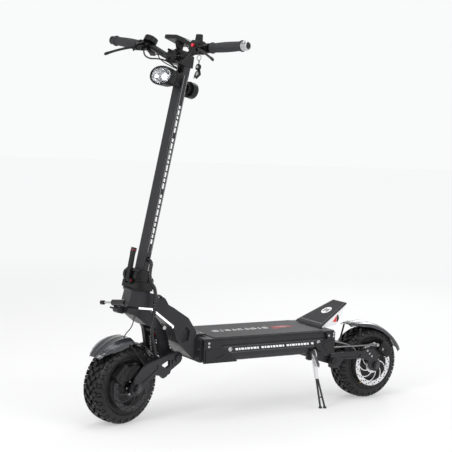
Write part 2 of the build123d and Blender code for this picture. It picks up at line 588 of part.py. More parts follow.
with BuildPart() as fold_base:
    side_block([(-42, 480), (44, 480), (44, 506), (-42, 506)], 34, 3)
    for side in (-1, 1):
        low = 22.6 if side > 0 else -34
        side_plate([(-39, 500), (-39, 517), (-34, 525), (-26, 528), (-18, 525), (-13, 517), (-13, 500)], low,
                   low + 11.4)
    side_block([(-44, 497.5), (-8, 497.5), (-8, 530), (-44, 530)], 22.6, mode=Mode.SUBTRACT)
    rod(spot(FOLD_PIN[0], -36, FOLD_PIN[1]), spot(FOLD_PIN[0], 36, FOLD_PIN[1]), 5)
    for low in (-15, 8.5):
        side_plate([(43, 494), (55, 496), (58, 505), (55, 512), (49, 513.5), (45.5, 507), (43, 505)], low, low + 6.5)
    rod(spot(LEVER_PIN[0], -16, LEVER_PIN[1]), spot(LEVER_PIN[0], 16, LEVER_PIN[1]), 3)
    rod(spot(0, 0, 470), spot(0, 0, 500), STEERER_R, mode=Mode.SUBTRACT)
save(fold_base, "fold_base", True)

with BuildPart() as fold_head:
    side_block([(-8, 507), (44, 507), (44, 540), (34, 549), (-20, 549), (-20, 532), (-8, 528)], 34, 2)
    side_block([(FOLD_PIN[0] - 14, FOLD_PIN[1]), (-36, 504), (-26, 500), (-9.5, 502), (-9, 508), (-4, 520), (-4, 534),
                (-18, 534), (-36, 524)], 21.8, 2)
    rod(spot(FOLD_PIN[0], -40, FOLD_PIN[1]), spot(FOLD_PIN[0], 40, FOLD_PIN[1]), 5 + RUNNING_GAP,
        mode=Mode.SUBTRACT)
    side_block([(-12, 548), (10, 548), (10, 570), (-12, 570)], 16)
    for low in (-33, 21):
        side_plate([(40, 512), (49, 515), (51, 526), (49, 537), (40, 540)], low, low + 12, 1)
save(fold_head, "fold_head", True)

with BuildPart() as fold_lever:
    side_block([(46.5, 502), (49, 499.6), (52.5, 499.6), (55.5, 501.5), (57, 512), (60, 560), (61, 600), (50, 600), (48, 560), (46, 520)], 7.6, 2)
    rod(spot(56, 0, 598), spot(54, 0, 619), 10)
    rod(spot(LEVER_PIN[0], -20, LEVER_PIN[1]), spot(LEVER_PIN[0], 20, LEVER_PIN[1]), 3 + RUNNING_GAP,
        mode=Mode.SUBTRACT)
save(fold_lever, "fold_lever", True)


# ---------------------------------------------------------------- steering damper
def damper(y):
    """A place on the damper's own axis, which droops to the right."""
    return spot(74, y, 422.8 + 0.1833 * y)


with BuildPart() as damper_body:
    rod(damper(-26), damper(34), 11)
    rod(damper(33), damper(44), 7)
    rod(damper(-30), damper(42), 3.6 + RUNNING_GAP, mode=Mode.SUBTRACT)
save(damper_body, "damper_body", True)

with BuildPart() as damper_rod:
    rod(damper(12), damper(-69), 3.6)
    rod(damper(-69), damper(-86), 8)
save(damper_rod, "damper_rod", True)


# ---------------------------------------------------------------- shock absorbers
def shock(end, top, low, wire, radius, turned):
    """Damper body, sliding rod and coil spring between two eyes."""
    head = Vector(top[0], 0, top[1])
    foot = Vector(low[0], 0, low[1])
    length = (foot - head).length
    run = (foot - head).normalized()

    def along(distance, y):
        place = head + run * distance
        return (place.X, y, place.Z)

    with BuildPart() as bodies:
        rod(along(0, -6.5), along(0, 6.5), 10.5)
        rod(along(6, 0), along(length * 0.5, 0), 8)
        rod(along(length * 0.16, 0), along(length * 0.16 + 4, 0), radius + wire)
        rod(along(length * 0.2, 0), along(length * 0.5 + 1, 0), 4.6, mode=Mode.SUBTRACT)
        rod(along(0, -8), along(0, 8), 5 + RUNNING_GAP, mode=Mode.SUBTRACT)
    save(bodies, f"{end}_shock_bodies", turned)

    with BuildPart() as rods:
        rod(along(length, -6.5), along(length, 6.5), 10)
        rod(along(length * 0.36, 0), along(length - 6, 0), 4.55)
        rod(along(length * 0.84 - 4, 0), along(length * 0.84, 0), radius + wire)
        rod(along(length * 0.84, 0), along(length - 6, 0), 7)
        rod(along(length, -8), along(length, 8), 5.5, mode=Mode.SUBTRACT)
    save(rods, f"{end}_shock_rods", turned)

    with BuildPart() as springs:
        coil(along(length * 0.16 + 4 + wire + 0.1, 0), along(length * 0.84 - 4 - wire - 0.1, 0), radius, wire, 7)
    save(springs, f"{end}_shock_springs", turned)
    print(end, "shock length", round(length, 2))


shock("front", FRONT_SHOCK_TOP, FRONT_SHOCK_LOW, 2.6, 13.6, True)
shock("rear", REAR_SHOCK_TOP, REAR_SHOCK_LOW, 2.2, 11.3, False)


# ---------------------------------------------------------------- stem
def stem_section(s, width, depth, radius):
    """A rounded rectangle across the stem, set back a little from the steering axis."""
    middle = at(-1, 0, s)
    with BuildSketch(Plane(middle)) as shape:
        RectangleRounded(depth, width, radius)
    return shape.sketch


with BuildPart() as stem_tube:
    extrude(stem_section(STEM_LOW, STEM_WIDTH, STEM_DEPTH, 6), amount=STEM_TOP - 18 - STEM_LOW)
    extrude(stem_section(STEM_LOW - 1, STEM_WIDTH - 5, STEM_DEPTH - 5, 4), amount=STEM_TOP - STEM_LOW,
            mode=Mode.SUBTRACT)
    for low in (-26, 21):
        side_plate([(-7, 622), (5, 622), (5, 1150), (-7, 1150)], low, low + 5, 3, mode=Mode.SUBTRACT)
    rod(spot(8, 0, 1258), spot(20, 0, 1258), 11.5, mode=Mode.SUBTRACT)
    rod(spot(-2, 16, 588), spot(-2, 26, 588), 9, mode=Mode.SUBTRACT)
save(stem_tube, "stem_tube", True)

with BuildPart() as stem_head:
    side_block([(-22, 1272), (-18, 1312), (16, 1322), (48, 1321), (66, 1313), (72, 1297), (66, 1282), (50, 1273)],
               24, 3)
    side_block([(-12, 1255), (9, 1255), (9, 1274), (-12, 1274)], 16)
    rod(spot(BAR_P, -30, BAR_S), spot(BAR_P, 30, BAR_S), BAR_CLAMP_R, mode=Mode.SUBTRACT)
    side_block([(49.4, 1260), (50.6, 1260), (50.6, 1330), (49.4, 1330)], 30, mode=Mode.SUBTRACT)
    side_block([(40, 1290), (60, 1290), (60, 1304), (40, 1304)], 3)
    for y in (-17, 17):
        for s in (1279.5, 1314.5):
            rod(spot(62, y, s), spot(74, y, s), 3.8)
    rod(spot(BAR_P, -30, BAR_S), spot(BAR_P, 30, BAR_S), BAR_CLAMP_R, mode=Mode.SUBTRACT)
save(stem_head, "stem_head", True)

BAR_ROUTE = [(60, -335, 1342), (58, -120, 1325), (50, -45, 1297), (50, 45, 1297), (58, 120, 1325),
             (60, 335, 1342)]
with BuildPart() as handlebar:
    hose([spot(*point) for point in BAR_ROUTE], BAR_R, 45)
    rod(spot(BAR_P, -32, BAR_S), spot(BAR_P, 32, BAR_S), BAR_CLAMP_R)
save(handlebar, "handlebar", True)


def bar_at(y):
    """A point on the straight outer part of the handlebar."""
    reach = (abs(y) - 120) / 215
    return spot(58 + 2 * reach, y, 1325 + 17 * reach)


with BuildPart() as grips:
    for side in (1, -1):
        rod(bar_at(side * GRIP_IN), bar_at(side * (GRIP_OUT - 2)), 16.5)
        rod(bar_at(side * GRIP_IN), bar_at(side * (GRIP_IN + 5)), 19)
        rod(bar_at(side * (GRIP_OUT - 8)), bar_at(side * (GRIP_OUT - 2)), 19)
        rod(bar_at(side * (GRIP_OUT - 1)), bar_at(side * 334), 14.5)
        rod(bar_at(side * 150), bar_at(side * 340), BAR_R + 0.1, mode=Mode.SUBTRACT)
        rod(bar_at(side * 335.4), bar_at(side * 338), 14.5)
save(grips, "grips", True)

with BuildPart() as bar_controls:
    rod(bar_at(88), bar_at(128), 20)
    side_plate([(40, 1308), (76, 1306), (82, 1318), (80, 1342), (72, 1352), (46, 1350), (38, 1336)], 88, 128, 4)
    side_plate([(50, 1350), (66, 1350), (66, 1374), (56, 1374)], 94, 117, 2)
    rod(bar_at(-124), bar_at(-142), 17)
    rod(spot(60, -133, 1338), spot(54, -133, 1356), 25)
    for side in (1, -1):
        low = 146 if side > 0 else -168
        rod(bar_at(side * 146), bar_at(side * 168), 17)
        side_plate([(60, 1316), (96, 1300), (106, 1303), (106, 1321), (92, 1328), (60, 1342)], low, low + 22, 2)
        side_plate([(84, 1303), (100, 1299), (104, 1316), (88, 1322)], min(side * 122, side * 148),
                   max(side * 122, side * 148), 2)
        rod(spot(102, side * 160, 1296), spot(102, side * 160, 1326), 3)
        side_plate([(88, 1305), (120, 1305), (120, 1319.5), (88, 1319.5)], min(side * 144, side * 172),
                   max(side * 144, side * 172), mode=Mode.SUBTRACT)
        rod(spot(102, side * 160, 1300), spot(102, side * 160, 1322), 3)
    add(handlebar.part, mode=Mode.SUBTRACT)
    rod(spot(78, 108, 1330), spot(90, 108, 1330), 6.4, mode=Mode.SUBTRACT)
save(bar_controls, "bar_controls", True)

with BuildPart() as red_button:
    rod(spot(82.4, 108, 1330), spot(88, 108, 1330), 6)
save(red_button, "red_button", True)

with BuildPart() as throttle:
    rod(spot(34, -160, 1328), spot(34, -138, 1328), 3.6)
    side_plate([(31, 1331), (35, 1324), (30, 1310), (18, 1301), (13, 1304), (22, 1318), (25, 1331)], -160, -138, 1.5)
save(throttle, "throttle_lever", True)


def brake_lever(side, label):
    """A brake blade with its pivot eye, drooping outward."""
    plane = Plane(origin=spot(102, side * 160, 1312.2), x_dir=(C, 0, S),
                  z_dir=(spot(0, side * 0.30, 0.954) - spot(0, 0, 0)))
    half = [(-6, -5), (5, -7), (9, 4), (18, 30), (30, 66), (38, 103), (33, 110), (27, 104), (18, 70), (4, 34),
            (-8, 8)]
    sketch = outline(plane, [(u, side * v) for u, v in half], 1.5)
    with BuildPart() as blade:
        extrude(sketch, amount=2.4, both=True)
        rod(spot(102, side * 160, 1296), spot(102, side * 160, 1326), 3 + RUNNING_GAP, mode=Mode.SUBTRACT)
    save(blade, label, True)


brake_lever(1, "brake_lever_left")
brake_lever(-1, "brake_lever_right")

with BuildPart() as display:
    side_block([(4, 1341), (92, 1349), (92, 1363), (4, 1356)], 28, 3)
    side_block([(30, 1322.3), (44, 1322.3), (60, 1350), (30, 1348)], 9)
save(display, "display", True)

with BuildPart() as headlight:
    side_block([(42, 1192), (64, 1184), (96, 1184), (98, 1190), (98, 1244), (96, 1250), (64, 1250), (42, 1242)],
               54, 3)
    side_block([(90, 1189), (104, 1189), (104, 1245), (90, 1245)], 49, mode=Mode.SUBTRACT)
    side_block([(14, 1196), (44, 1196), (44, 1208), (14, 1208)], 18)
save(headlight, "headlight_housing", True)

with BuildPart() as headlight_lens:
    side_block([(90.3, 1189.4), (97, 1189.4), (97, 1244.6), (90.3, 1244.6)], 48.6, 1)
save(headlight_lens, "headlight_lens", True)

with BuildPart() as horn:
    rod(spot(-44, 0, 1202), spot(-68, 0, 1202), 29)
    rod(spot(-26, 0, 1202), spot(-44, 0, 1202), 20)
    side_block([(-27, 1196), (-16, 1196), (-16, 1208), (-27, 1208)], 14)
save(horn, "horn", True)

with BuildPart() as keys:
    hang = Vector(-S, 0, -C)
    ring = spot(30, 96, 1300)
    with BuildSketch(Plane(origin=ring, x_dir=(0, 1, 0), z_dir=(1, 0, 0))):
        Circle(10)
        Circle(8.2, mode=Mode.SUBTRACT)
    extrude(amount=1.8)
    foot = spot(22, 96, 1240)
    with BuildSketch(Plane(origin=foot, x_dir=(0, 1, 0), z_dir=(1, 0, 0))):
        with Locations((-13, 20)):
            RectangleRounded(22, 26, 4)
        with Locations((-13, -8)):
            Rectangle(8, 34)
        with Locations((14, 14)):
            RectangleRounded(20, 30, 4)
        with Locations((14, -14)):
            Rectangle(7, 30)
        with Locations((0, 36)):
            Rectangle(18, 12)
    extrude(amount=2.2)
save(keys, "keys", True)


# ---------------------------------------------------------------- cords
with BuildPart() as bar_hoses:
    hose([spot(92, -119, 1306), spot(86, -92, 1282), spot(76, -48, 1266), spot(30, -6, 1262), spot(11, -5, 1261)],
         2.6, 14)
    hose([spot(92, 119, 1306), spot(84, 88, 1284), spot(74, 46, 1267), spot(30, 5, 1254), spot(11, 5, 1253)],
         2.6, 14)
save(bar_hoses, "bar_hoses", True)

FRONT_LOOM = [(-2, 14, 588), (-2, 44, 588), (16, 60, 545), (4, 60, 512), (-24, 61, 498), (-35, 62, 440),
              (-37, 66, 382), (-34, 83, 335), (-58, 83, 298), (-76, 83, 264)]
with BuildPart() as front_loom:
    hose([spot(*point) for point in FRONT_LOOM], 6.5, 10)
save(front_loom, "front_loom", True)

with BuildPart() as rear_hoses:
    hose([(-290, 58, 252), (-338, 60, 246), (-420, 61, 226), (-448, 63.5, 206), (-452, 63.5, 196)], 3.0, 6)
    hose([(-290, 58, 223), (-330, 60, 220), (-384, 66, 222), (-440, 73, 222), (-520, 74, 222), (-551, 74, 215)],
         3.0, 20)
save(rear_hoses, "rear_hoses")
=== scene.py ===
"""Looks for the electric kick scooter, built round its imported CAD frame."""
import bpy
from math import copysign, cos, hypot, pi, radians, sin
from mathutils import Matrix, Vector


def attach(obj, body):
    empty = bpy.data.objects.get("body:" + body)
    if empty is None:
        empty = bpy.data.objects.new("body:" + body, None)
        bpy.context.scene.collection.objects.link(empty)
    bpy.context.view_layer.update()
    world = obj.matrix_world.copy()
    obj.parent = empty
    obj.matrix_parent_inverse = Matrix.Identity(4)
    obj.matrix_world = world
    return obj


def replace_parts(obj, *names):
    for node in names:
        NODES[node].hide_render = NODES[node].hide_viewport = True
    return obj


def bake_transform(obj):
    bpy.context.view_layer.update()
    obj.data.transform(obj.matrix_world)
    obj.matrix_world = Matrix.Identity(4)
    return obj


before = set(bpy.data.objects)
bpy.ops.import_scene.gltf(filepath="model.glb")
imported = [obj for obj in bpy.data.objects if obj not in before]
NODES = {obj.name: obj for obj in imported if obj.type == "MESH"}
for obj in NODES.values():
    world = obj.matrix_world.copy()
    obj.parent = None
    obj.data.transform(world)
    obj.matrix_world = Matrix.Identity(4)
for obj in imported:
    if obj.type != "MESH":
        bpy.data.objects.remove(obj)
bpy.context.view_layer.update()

# ---- places, in millimetres
MM = 0.001
SHIFT = Vector((13.95, -16.12, 0.34)) * MM
RAKE = radians(10.8)
BARS_TURNED = radians(15.7)
C, S = cos(RAKE), sin(RAKE)
FOOT = Vector((0.583, 0, 0))  # where the steering axis meets the floor
ROW = Matrix.Translation(SHIFT)
TURN = (Matrix.Translation(FOOT) @ Matrix.Rotation(BARS_TURNED, 4, Vector((-S, 0, C)))
        @ Matrix.Translation(-FOOT))
UNIT = Matrix.Identity(4)
STRAIGHT = ROW @ Matrix.Scale(MM, 4)
STEERED = ROW @ TURN @ Matrix.Scale(MM, 4)
PLANE = Matrix(((C, 0, -S, 583.0), (0, 1, 0, 0), (S, 0, C, 0), (0, 0, 0, 1)))
COCKPIT = STEERED @ PLANE
FRONT_WHEEL = STEERED @ Matrix.Translation((542, 0, 140))
REAR_WHEEL = STRAIGHT @ Matrix.Translation((-542, 0, 140))
SIDES = ((1, "left"), (-1, "right"))


def bar_at(y):
    """A point on the straight outer part of the handlebar, in the cockpit's frame."""
    reach = (abs(y) - 120) / 215
    return Vector((58 + 2 * reach, y, 1325 + 17 * reach))


def new_object(name, data):
    obj = bpy.data.objects.new(name, data)
    bpy.context.scene.collection.objects.link(obj)
    return obj


# ---- materials
def blank(name):
    m = bpy.data.materials.new(name)
    m.use_nodes = True
    return m, m.node_tree, m.node_tree.nodes["Principled BSDF"]


def put(tree, node, **inputs):
    """Set a node's inputs, each to a value or to another node's output; an underscore stands for a space."""
    for name, value in inputs.items():
        socket = node.inputs[name.replace("_", " ")]
        if isinstance(value, bpy.types.NodeSocket):
            tree.links.new(value, socket)
        else:
            socket.default_value = value
    return node


def add(tree, kind, **inputs):
    return put(tree, tree.nodes.new("ShaderNode" + kind), **inputs)


def noise(tree, scale, detail, stretch=(1, 1, 1), rough=0.6):
    spread = add(tree, "Mapping", Vector=add(tree, "TexCoord").outputs["Object"], Scale=stretch)
    return add(tree, "TexNoise", Vector=spread.outputs["Vector"], Scale=scale, Detail=detail,
               Roughness=rough).outputs["Fac"]


def ramp(tree, source, *stops):
    """A colour that runs through stops of (level, colour)."""
    r = add(tree, "ValToRGB", Fac=source)
    while len(r.color_ramp.elements) < len(stops):
        r.color_ramp.elements.new(0.5)
    for element, (place, colour) in zip(r.color_ramp.elements, stops):
        element.position = place
        element.color = (*colour, 1)
    return r.outputs["Color"]


def bump(tree, height, strength, distance, **under):
    return add(tree, "Bump", Height=height, Strength=strength, Distance=distance, **under).outputs["Normal"]


def darker(colour, share):
    return tuple(c * share for c in colour)


def shade(name, base, rough, metallic, vary, grain, depth, coat=0.0, specular=0.5, stretch=(1, 1, 1),
          dust=None):
    """A coated or moulded surface: colour uneven by vary, uneven gloss, and fine bumps of grain and depth."""
    m, tree, shader = blank(name)
    uneven = 0.1
    light = tuple(min(1.0, c * (1 + vary)) for c in base)
    stops = [(0.3, darker(base, 1 - vary)), (0.7, light)]
    if dust:
        stops[1:] = [(0.62, light), (0.8, dust)]
    colour = ramp(tree, noise(tree, 14.0, 5.0), *stops)
    gloss = add(tree, "MapRange", Value=noise(tree, 55.0, 6.0, stretch), From_Min=0.3, From_Max=0.7,
                To_Min=max(0.02, rough - uneven), To_Max=rough + uneven)
    put(tree, shader, Base_Color=colour, Roughness=gloss.outputs["Result"], Metallic=metallic,
        Coat_Weight=coat, Coat_Roughness=0.12, Specular_IOR_Level=specular,
        Normal=bump(tree, noise(tree, grain, 3.0, stretch), depth, 0.0004))
    return m


# colour, roughness, metallic, vary, grain, depth
BLACK = shade("satin_black", (0.0055, 0.0055, 0.006), 0.36, 0, 0.25, 1400, 0.10, specular=0.33)
FRAME_GREY = shade("powder_coat_grey", (0.0165, 0.0165, 0.019), 0.36, 0, 0.18, 1600, 0.12, specular=0.36)
TRIM_GREY = shade("trim_grey", (0.009, 0.009, 0.0105), 0.32, 0, 0.2, 1500, 0.08, specular=0.36)
PLASTIC = shade("moulded_black", (0.0045, 0.0045, 0.005), 0.40, 0, 0.25, 2200, 0.22, specular=0.30)
GLOSS = shade("gloss_black", (0.004, 0.004, 0.0045), 0.14, 0, 0.15, 300, 0.02, coat=0.3, specular=0.4)
STEEL = shade("bright_steel", (0.52, 0.52, 0.53), 0.28, 1.0, 0.12, 700, 0.05, stretch=(1, 8, 1))
SILVER = shade("silver_leg", (0.62, 0.62, 0.63), 0.34, 0.75, 0.1, 900, 0.06)
DARK_STEEL = shade("dark_steel", (0.085, 0.085, 0.090), 0.34, 1.0, 0.2, 800, 0.08)
SPRING = shade("spring_black", (0.050, 0.050, 0.053), 0.20, 0.6, 0.2, 500, 0.04, coat=0.6)
RUBBER = shade("grip_rubber", (0.022, 0.022, 0.025), 0.55, 0, 0.2, 2600, 0.35, specular=0.4)
TYRE = shade("tyre_rubber", (0.0095, 0.0095, 0.0105), 0.46, 0, 0.35, 700, 0.35, specular=0.35,
             dust=(0.026, 0.026, 0.025))
PANEL = shade("pale_panel", (0.80, 0.80, 0.81), 0.36, 0, 0.03, 1200, 0.05)
# painted highlight: this pale grey colours the lines along the stem's edges, standing in for the light those
# edges catch
EDGE_HIGHLIGHT = shade("painted_edge_highlight", (0.42, 0.42, 0.43), 0.4, 0, 0.12, 1200, 0.05)
WHITE = shade("print_white", (0.82, 0.82, 0.82), 0.5, 0, 0.04, 1600, 0.05)
GREY_PRINT = shade("print_grey", (0.16, 0.16, 0.165), 0.5, 0, 0.1, 1600, 0.05)
RED = shade("print_red", (0.50, 0.020, 0.025), 0.45, 0, 0.12, 1400, 0.06)
DEEP_RED = shade("anodised_red", (0.16, 0.008, 0.014), 0.26, 0.3, 0.15, 700, 0.04)
RED_GLOSS = shade("red_button", (0.55, 0.012, 0.030), 0.22, 0, 0.1, 500, 0.03, coat=0.4)
BRASS = shade("valve_brass", (0.72, 0.55, 0.25), 0.32, 0.9, 0.1, 900, 0.05)
YELLOW = shade("yellow_lead", (0.75, 0.52, 0.05), 0.5, 0, 0.08, 900, 0.05)
HOSE = shade("hose_black", (0.006, 0.006, 0.007), 0.30, 0, 0.2, 1500, 0.1, specular=0.45)
GREY_HOSE = shade("hose_grey", (0.22, 0.22, 0.225), 0.34, 0.6, 0.2, 1500, 0.15)
BATTERY = shade("battery_wrap", (0.03, 0.08, 0.22), 0.4, 0, 0.2, 600, 0.1)
FENDER = shade("fender_gloss", (0.030, 0.031, 0.036), 0.24, 0.15, 0.3, 500, 0.03, coat=0.5, stretch=(1, 6, 1))
DARK_DISC = shade("dark_disc", (0.060, 0.060, 0.063), 0.28, 1.0, 0.25, 900, 0.08)
SCREEN = shade("screen_glass", (0.010, 0.011, 0.014), 0.10, 0, 0.2, 200, 0.01, coat=0.5)


def brushed_disc(name):
    """Ground steel with fine uneven marks."""
    m, tree, shader = blank(name)
    colour = ramp(tree, noise(tree, 30.0, 4.0), (0.3, (0.66, 0.66, 0.67)), (0.7, (0.84, 0.84, 0.85)))
    fine = noise(tree, 1500.0, 2.0)
    gloss = ramp(tree, fine, (0.3, (0.26, 0.26, 0.26)), (0.7, (0.42, 0.42, 0.42)))
    put(tree, shader, Base_Color=colour, Roughness=gloss, Metallic=0.85,
        Normal=bump(tree, fine, 0.12, 0.0003))
    return m


def mat_streaks(name):
    """The deck's non-slip sheet: long uneven ridges along its length, with fine grit."""
    m, tree, shader = blank(name)
    ridges = noise(tree, 30.0, 6.0, (0.35, 6.0, 1), 0.7)
    colour = ramp(tree, ridges, (0.34, (0.012, 0.012, 0.014)), (0.52, (0.024, 0.024, 0.027)),
                  (0.74, (0.055, 0.055, 0.060)))
    grit = bump(tree, noise(tree, 1200.0, 2.0), 0.35, 0.0005)
    put(tree, shader, Base_Color=colour, Roughness=0.62, Normal=bump(tree, ridges, 0.6, 0.0012, Normal=grit))
    return m


def two_tone(name, low, high, level):
    """A bar that is bright above a level and painted black below it."""
    m, tree, shader = blank(name)
    split = add(tree, "SeparateXYZ", Vector=add(tree, "TexCoord").outputs["Object"])
    step = add(tree, "MapRange", Value=split.outputs["Z"], From_Min=level - 0.0015, From_Max=level + 0.0015)
    above = step.outputs["Result"]
    grain = noise(tree, 40.0, 5.0)
    mix = add(tree, "Mix")
    mix.data_type = "RGBA"
    put(tree, mix, Factor=above, A=ramp(tree, grain, (0.3, darker(low, 0.8)), (0.7, low)),
        B=ramp(tree, grain, (0.3, darker(high, 0.92)), (0.7, high)))
    put(tree, shader, Base_Color=mix.outputs["Result"], Metallic=above, Roughness=0.36,
        Normal=bump(tree, noise(tree, 900.0, 3.0), 0.08, 0.0003))
    return m


def glowing(name, colour, strength):
    m, tree, shader = blank(name)
    tint = ramp(tree, noise(tree, 60.0, 2.0), (0.2, darker(colour, 0.85)), (0.8, colour))
    put(tree, shader, Base_Color=tint, Emission_Color=tint, Emission_Strength=strength, Roughness=0.3)
    return m


def clear(name, tint):
    m, tree, shader = blank(name)
    put(tree, shader, Base_Color=(*tint, 1), Roughness=0.04, Transmission_Weight=1.0, IOR=1.25,
        Normal=bump(tree, noise(tree, 200.0, 2.0), 0.03, 0.0003))
    return m


def facets(name):
    """The lamp's bright reflector, pressed into small facets."""
    m, tree, shader = blank(name)
    cells = add(tree, "TexVoronoi", Vector=add(tree, "TexCoord").outputs["Object"], Scale=130.0)
    edge = cells.outputs["Distance"]
    put(tree, shader, Base_Color=ramp(tree, edge, (0.1, (0.74, 0.74, 0.75)), (0.8, (0.26, 0.265, 0.275))),
        Metallic=0.9, Roughness=0.18, Normal=bump(tree, edge, 0.3, 0.001))
    return m


DISC = brushed_disc("brake_disc_steel")
MAT = mat_streaks("deck_mat_streaks")
LEG = two_tone("kickstand_two_tone", (0.022, 0.022, 0.024), (0.80, 0.80, 0.81), 0.119)
STRIP = glowing("light_strip_white", (0.95, 0.95, 0.95), 0.7)
LAMP = glowing("lamp_core", (0.95, 0.96, 1.0), 0.6)
TAIL = glowing("tail_light_red", (0.55, 0.02, 0.02), 0.35)
GLASS = clear("lamp_glass", (0.96, 0.97, 0.98))
REFLECTOR = facets("lamp_reflector")

# the look of each CAD node
FINISH = (
    (FRAME_GREY, "deck_tray deck_cover neck_and_head_tube rear_carrier footrest_plate fork front_swingarm "
                 "rear_swingarm stem_tube"),
    (BLACK, "rear_pivot_pins kickstand_bracket fold_base fold_head fold_lever front_caliper rear_caliper "
            "front_hub rear_hub stem_head handlebar brake_lever_left brake_lever_right"),
    (PLASTIC, "bar_controls display throttle_lever headlight_housing horn"),
    (GLOSS, "damper_body front_shock_bodies rear_shock_bodies"),
    (STEEL, "frame_screws damper_rod keys"),
    (DARK_STEEL, "head_bearings front_axle rear_axle front_shock_rods rear_shock_rods"),
    (SPRING, "front_shock_springs rear_shock_springs"), (DISC, "front_rotor rear_rotor"),
    (FENDER, "front_fender rear_fender"), (TYRE, "front_tyre rear_tyre"), (HOSE, "bar_hoses front_loom"),
    (GREY_HOSE, "rear_hoses"), (MAT, "deck_mat"), (TRIM_GREY, "deck_trims"), (BATTERY, "battery_pack"),
    (SILVER, "motor_controllers"), (STRIP, "neck_light_strips"), (PANEL, "footrest_side_panels"),
    (TAIL, "tail_lights"), (LEG, "kickstand_leg"), (RUBBER, "grips"), (RED_GLOSS, "red_button"),
    (GLASS, "headlight_lens"),
)
for look, names in FINISH:
    for name in names.split():
        for holder in NODES[name].material_slots:
            holder.link = "OBJECT"
            holder.material = look

# the width of the rounded edges of the CAD nodes that have them
EDGED = (
    (1.2, "neck_and_head_tube fork"), (1.0, "fold_head display horn"),
    (0.9, "front_swingarm rear_swingarm stem_head bar_controls"),
    (0.8, "deck_tray deck_trims footrest_plate fold_base fold_lever brake_lever_left brake_lever_right"),
    (0.7, "rear_carrier front_caliper rear_caliper"), (0.6, "throttle_lever kickstand_leg"),
    (0.5, "footrest_side_panels kickstand_bracket stem_tube"), (0.3, "keys"),
)
for width, names in EDGED:
    for name in names.split():
        soften = NODES[name].modifiers.new("edges", "BEVEL")
        soften.width = width * MM
        soften.segments = 2
        soften.limit_method = "ANGLE"
        soften.angle_limit = radians(38)


# ---- making pieces
def piece(name, shape, matrix, look, body, smooth=True, sharp=35.0):
    """A mesh from vertices in a local frame and faces, riding on a CAD body if it has one."""
    mesh = bpy.data.meshes.new(name)
    mesh.from_pydata([matrix @ Vector(v) for v in shape[0]], [], shape[1])
    mesh.validate()
    mesh.update()
    obj = new_object(name, mesh)
    mesh.materials.append(look)
    if smooth:
        mesh.shade_smooth()
        mesh.set_sharp_from_angle(angle=radians(sharp))
    if body:
        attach(obj, body)
    return obj


def turns(count):
    """The angles of one full turn in equal steps."""
    return [2 * pi * i / count for i in range(count)]


def skin(rings, sides, first=True, last=True):
    """The faces round a row of rings of points, with a cap at either end."""
    faces = []
    for i in range(rings - 1):
        for k in range(sides):
            a, b = i * sides + k, i * sides + (k + 1) % sides
            faces.append((a, b, b + sides, a + sides))
    if first:
        faces.append(tuple(range(sides))[::-1])
    if last:
        faces.append(tuple((rings - 1) * sides + k for k in range(sides)))
    return faces


def lathe(profile, steps, closed=False, about="Z"):
    """A profile of (along, radius) turned about an axis."""
    verts, faces, n = [], [], len(profile)
    for a in turns(steps):
        for along, r in profile:
            u, v = r * cos(a), r * sin(a)
            verts.append((u, v, along) if about == "Z" else (v, along, u))
    for i in range(steps):
        here, there = i * n, (i + 1) % steps * n
        for j in range(n if closed else n - 1):
            k = (j + 1) % n
            faces.append((here + j, there + j, there + k, here + k))
    return verts, faces


def join(parts):
    verts, faces = [], []
    for v, f in parts:
        base = len(verts)
        verts += v
        faces += [tuple(i + base for i in face) for face in f]
    return verts, faces


def at(matrix, place):
    return tuple(matrix @ Vector(place))


def moved(shape, matrix):
    return [at(matrix, v) for v in shape[0]], shape[1]


def aim(start, direction):
    """A frame at a point whose Z runs along a direction."""
    turn = Vector(direction).normalized().to_track_quat("Z", "Y").to_matrix().to_4x4()
    return Matrix.Translation(Vector(start)) @ turn


def cap_screw(radius, height):
    """A socket cap screw along +Z: chamfered head with a hexagonal recess."""
    n, rows = 20, 4
    head = [(0, radius), (height * 0.8, radius), (height, radius * 0.86), (height, radius * 0.5)]
    verts, faces = lathe(head, n)
    ring = len(verts)
    flats = [(a, radius * 0.44 / cos((a % (pi / 3)) - pi / 6)) for a in turns(n)]
    for level in (height, height * 0.35):
        verts += [(r * cos(a), r * sin(a), level) for a, r in flats]
    for i in range(n):
        k = (i + 1) % n
        rim = rows - 1
        faces.append((rows * k + rim, ring + k, ring + i, rows * i + rim))
        faces.append((ring + k, ring + n + k, ring + n + i, ring + i))
    faces.append(tuple(ring + n + i for i in range(n)))
    return verts, faces


def screws(name, places, matrix, look, body, radius=4.0, height=2.6):
    """Cap screws as one piece: places are (point, direction), with a radius and height where they differ."""
    parts = [moved(cap_screw(*(own or (radius, height))), aim(place, direction))
             for place, direction, *own in places]
    return piece(name, join(parts), matrix, look, body, sharp=30)


def smooth_path(points, matrix):
    """The points of a NURBS line through a route's control points, in the row frame."""
    curve = bpy.data.curves.new("route", "CURVE")
    curve.dimensions = "3D"
    spline = curve.splines.new("NURBS")
    spline.points.add(len(points) - 1)
    for point, place in zip(spline.points, points):
        point.co = (*(matrix @ Vector(place)), 1)
    spline.order_u = 3
    spline.use_endpoint_u = True
    spline.resolution_u = 12
    holder = new_object("route", curve)
    bpy.context.view_layer.update()
    mesh = bpy.data.meshes.new_from_object(holder)
    line = [v.co.copy() for v in mesh.vertices]
    bpy.data.objects.remove(holder)
    bpy.data.meshes.remove(mesh)
    return line


def resample(line, gap):
    """Evenly spaced points along a line."""
    out, carry = [line[0].copy()], 0.0
    for a, b in zip(line, line[1:]):
        run = (b - a).length
        while carry + run >= gap:
            t = (gap - carry) / run
            a = a.lerp(b, t)
            out.append(a.copy())
            run, carry = (b - a).length, 0.0
        carry += run
    if (out[-1] - line[-1]).length > gap * 0.4:
        out.append(line[-1].copy())
    return out


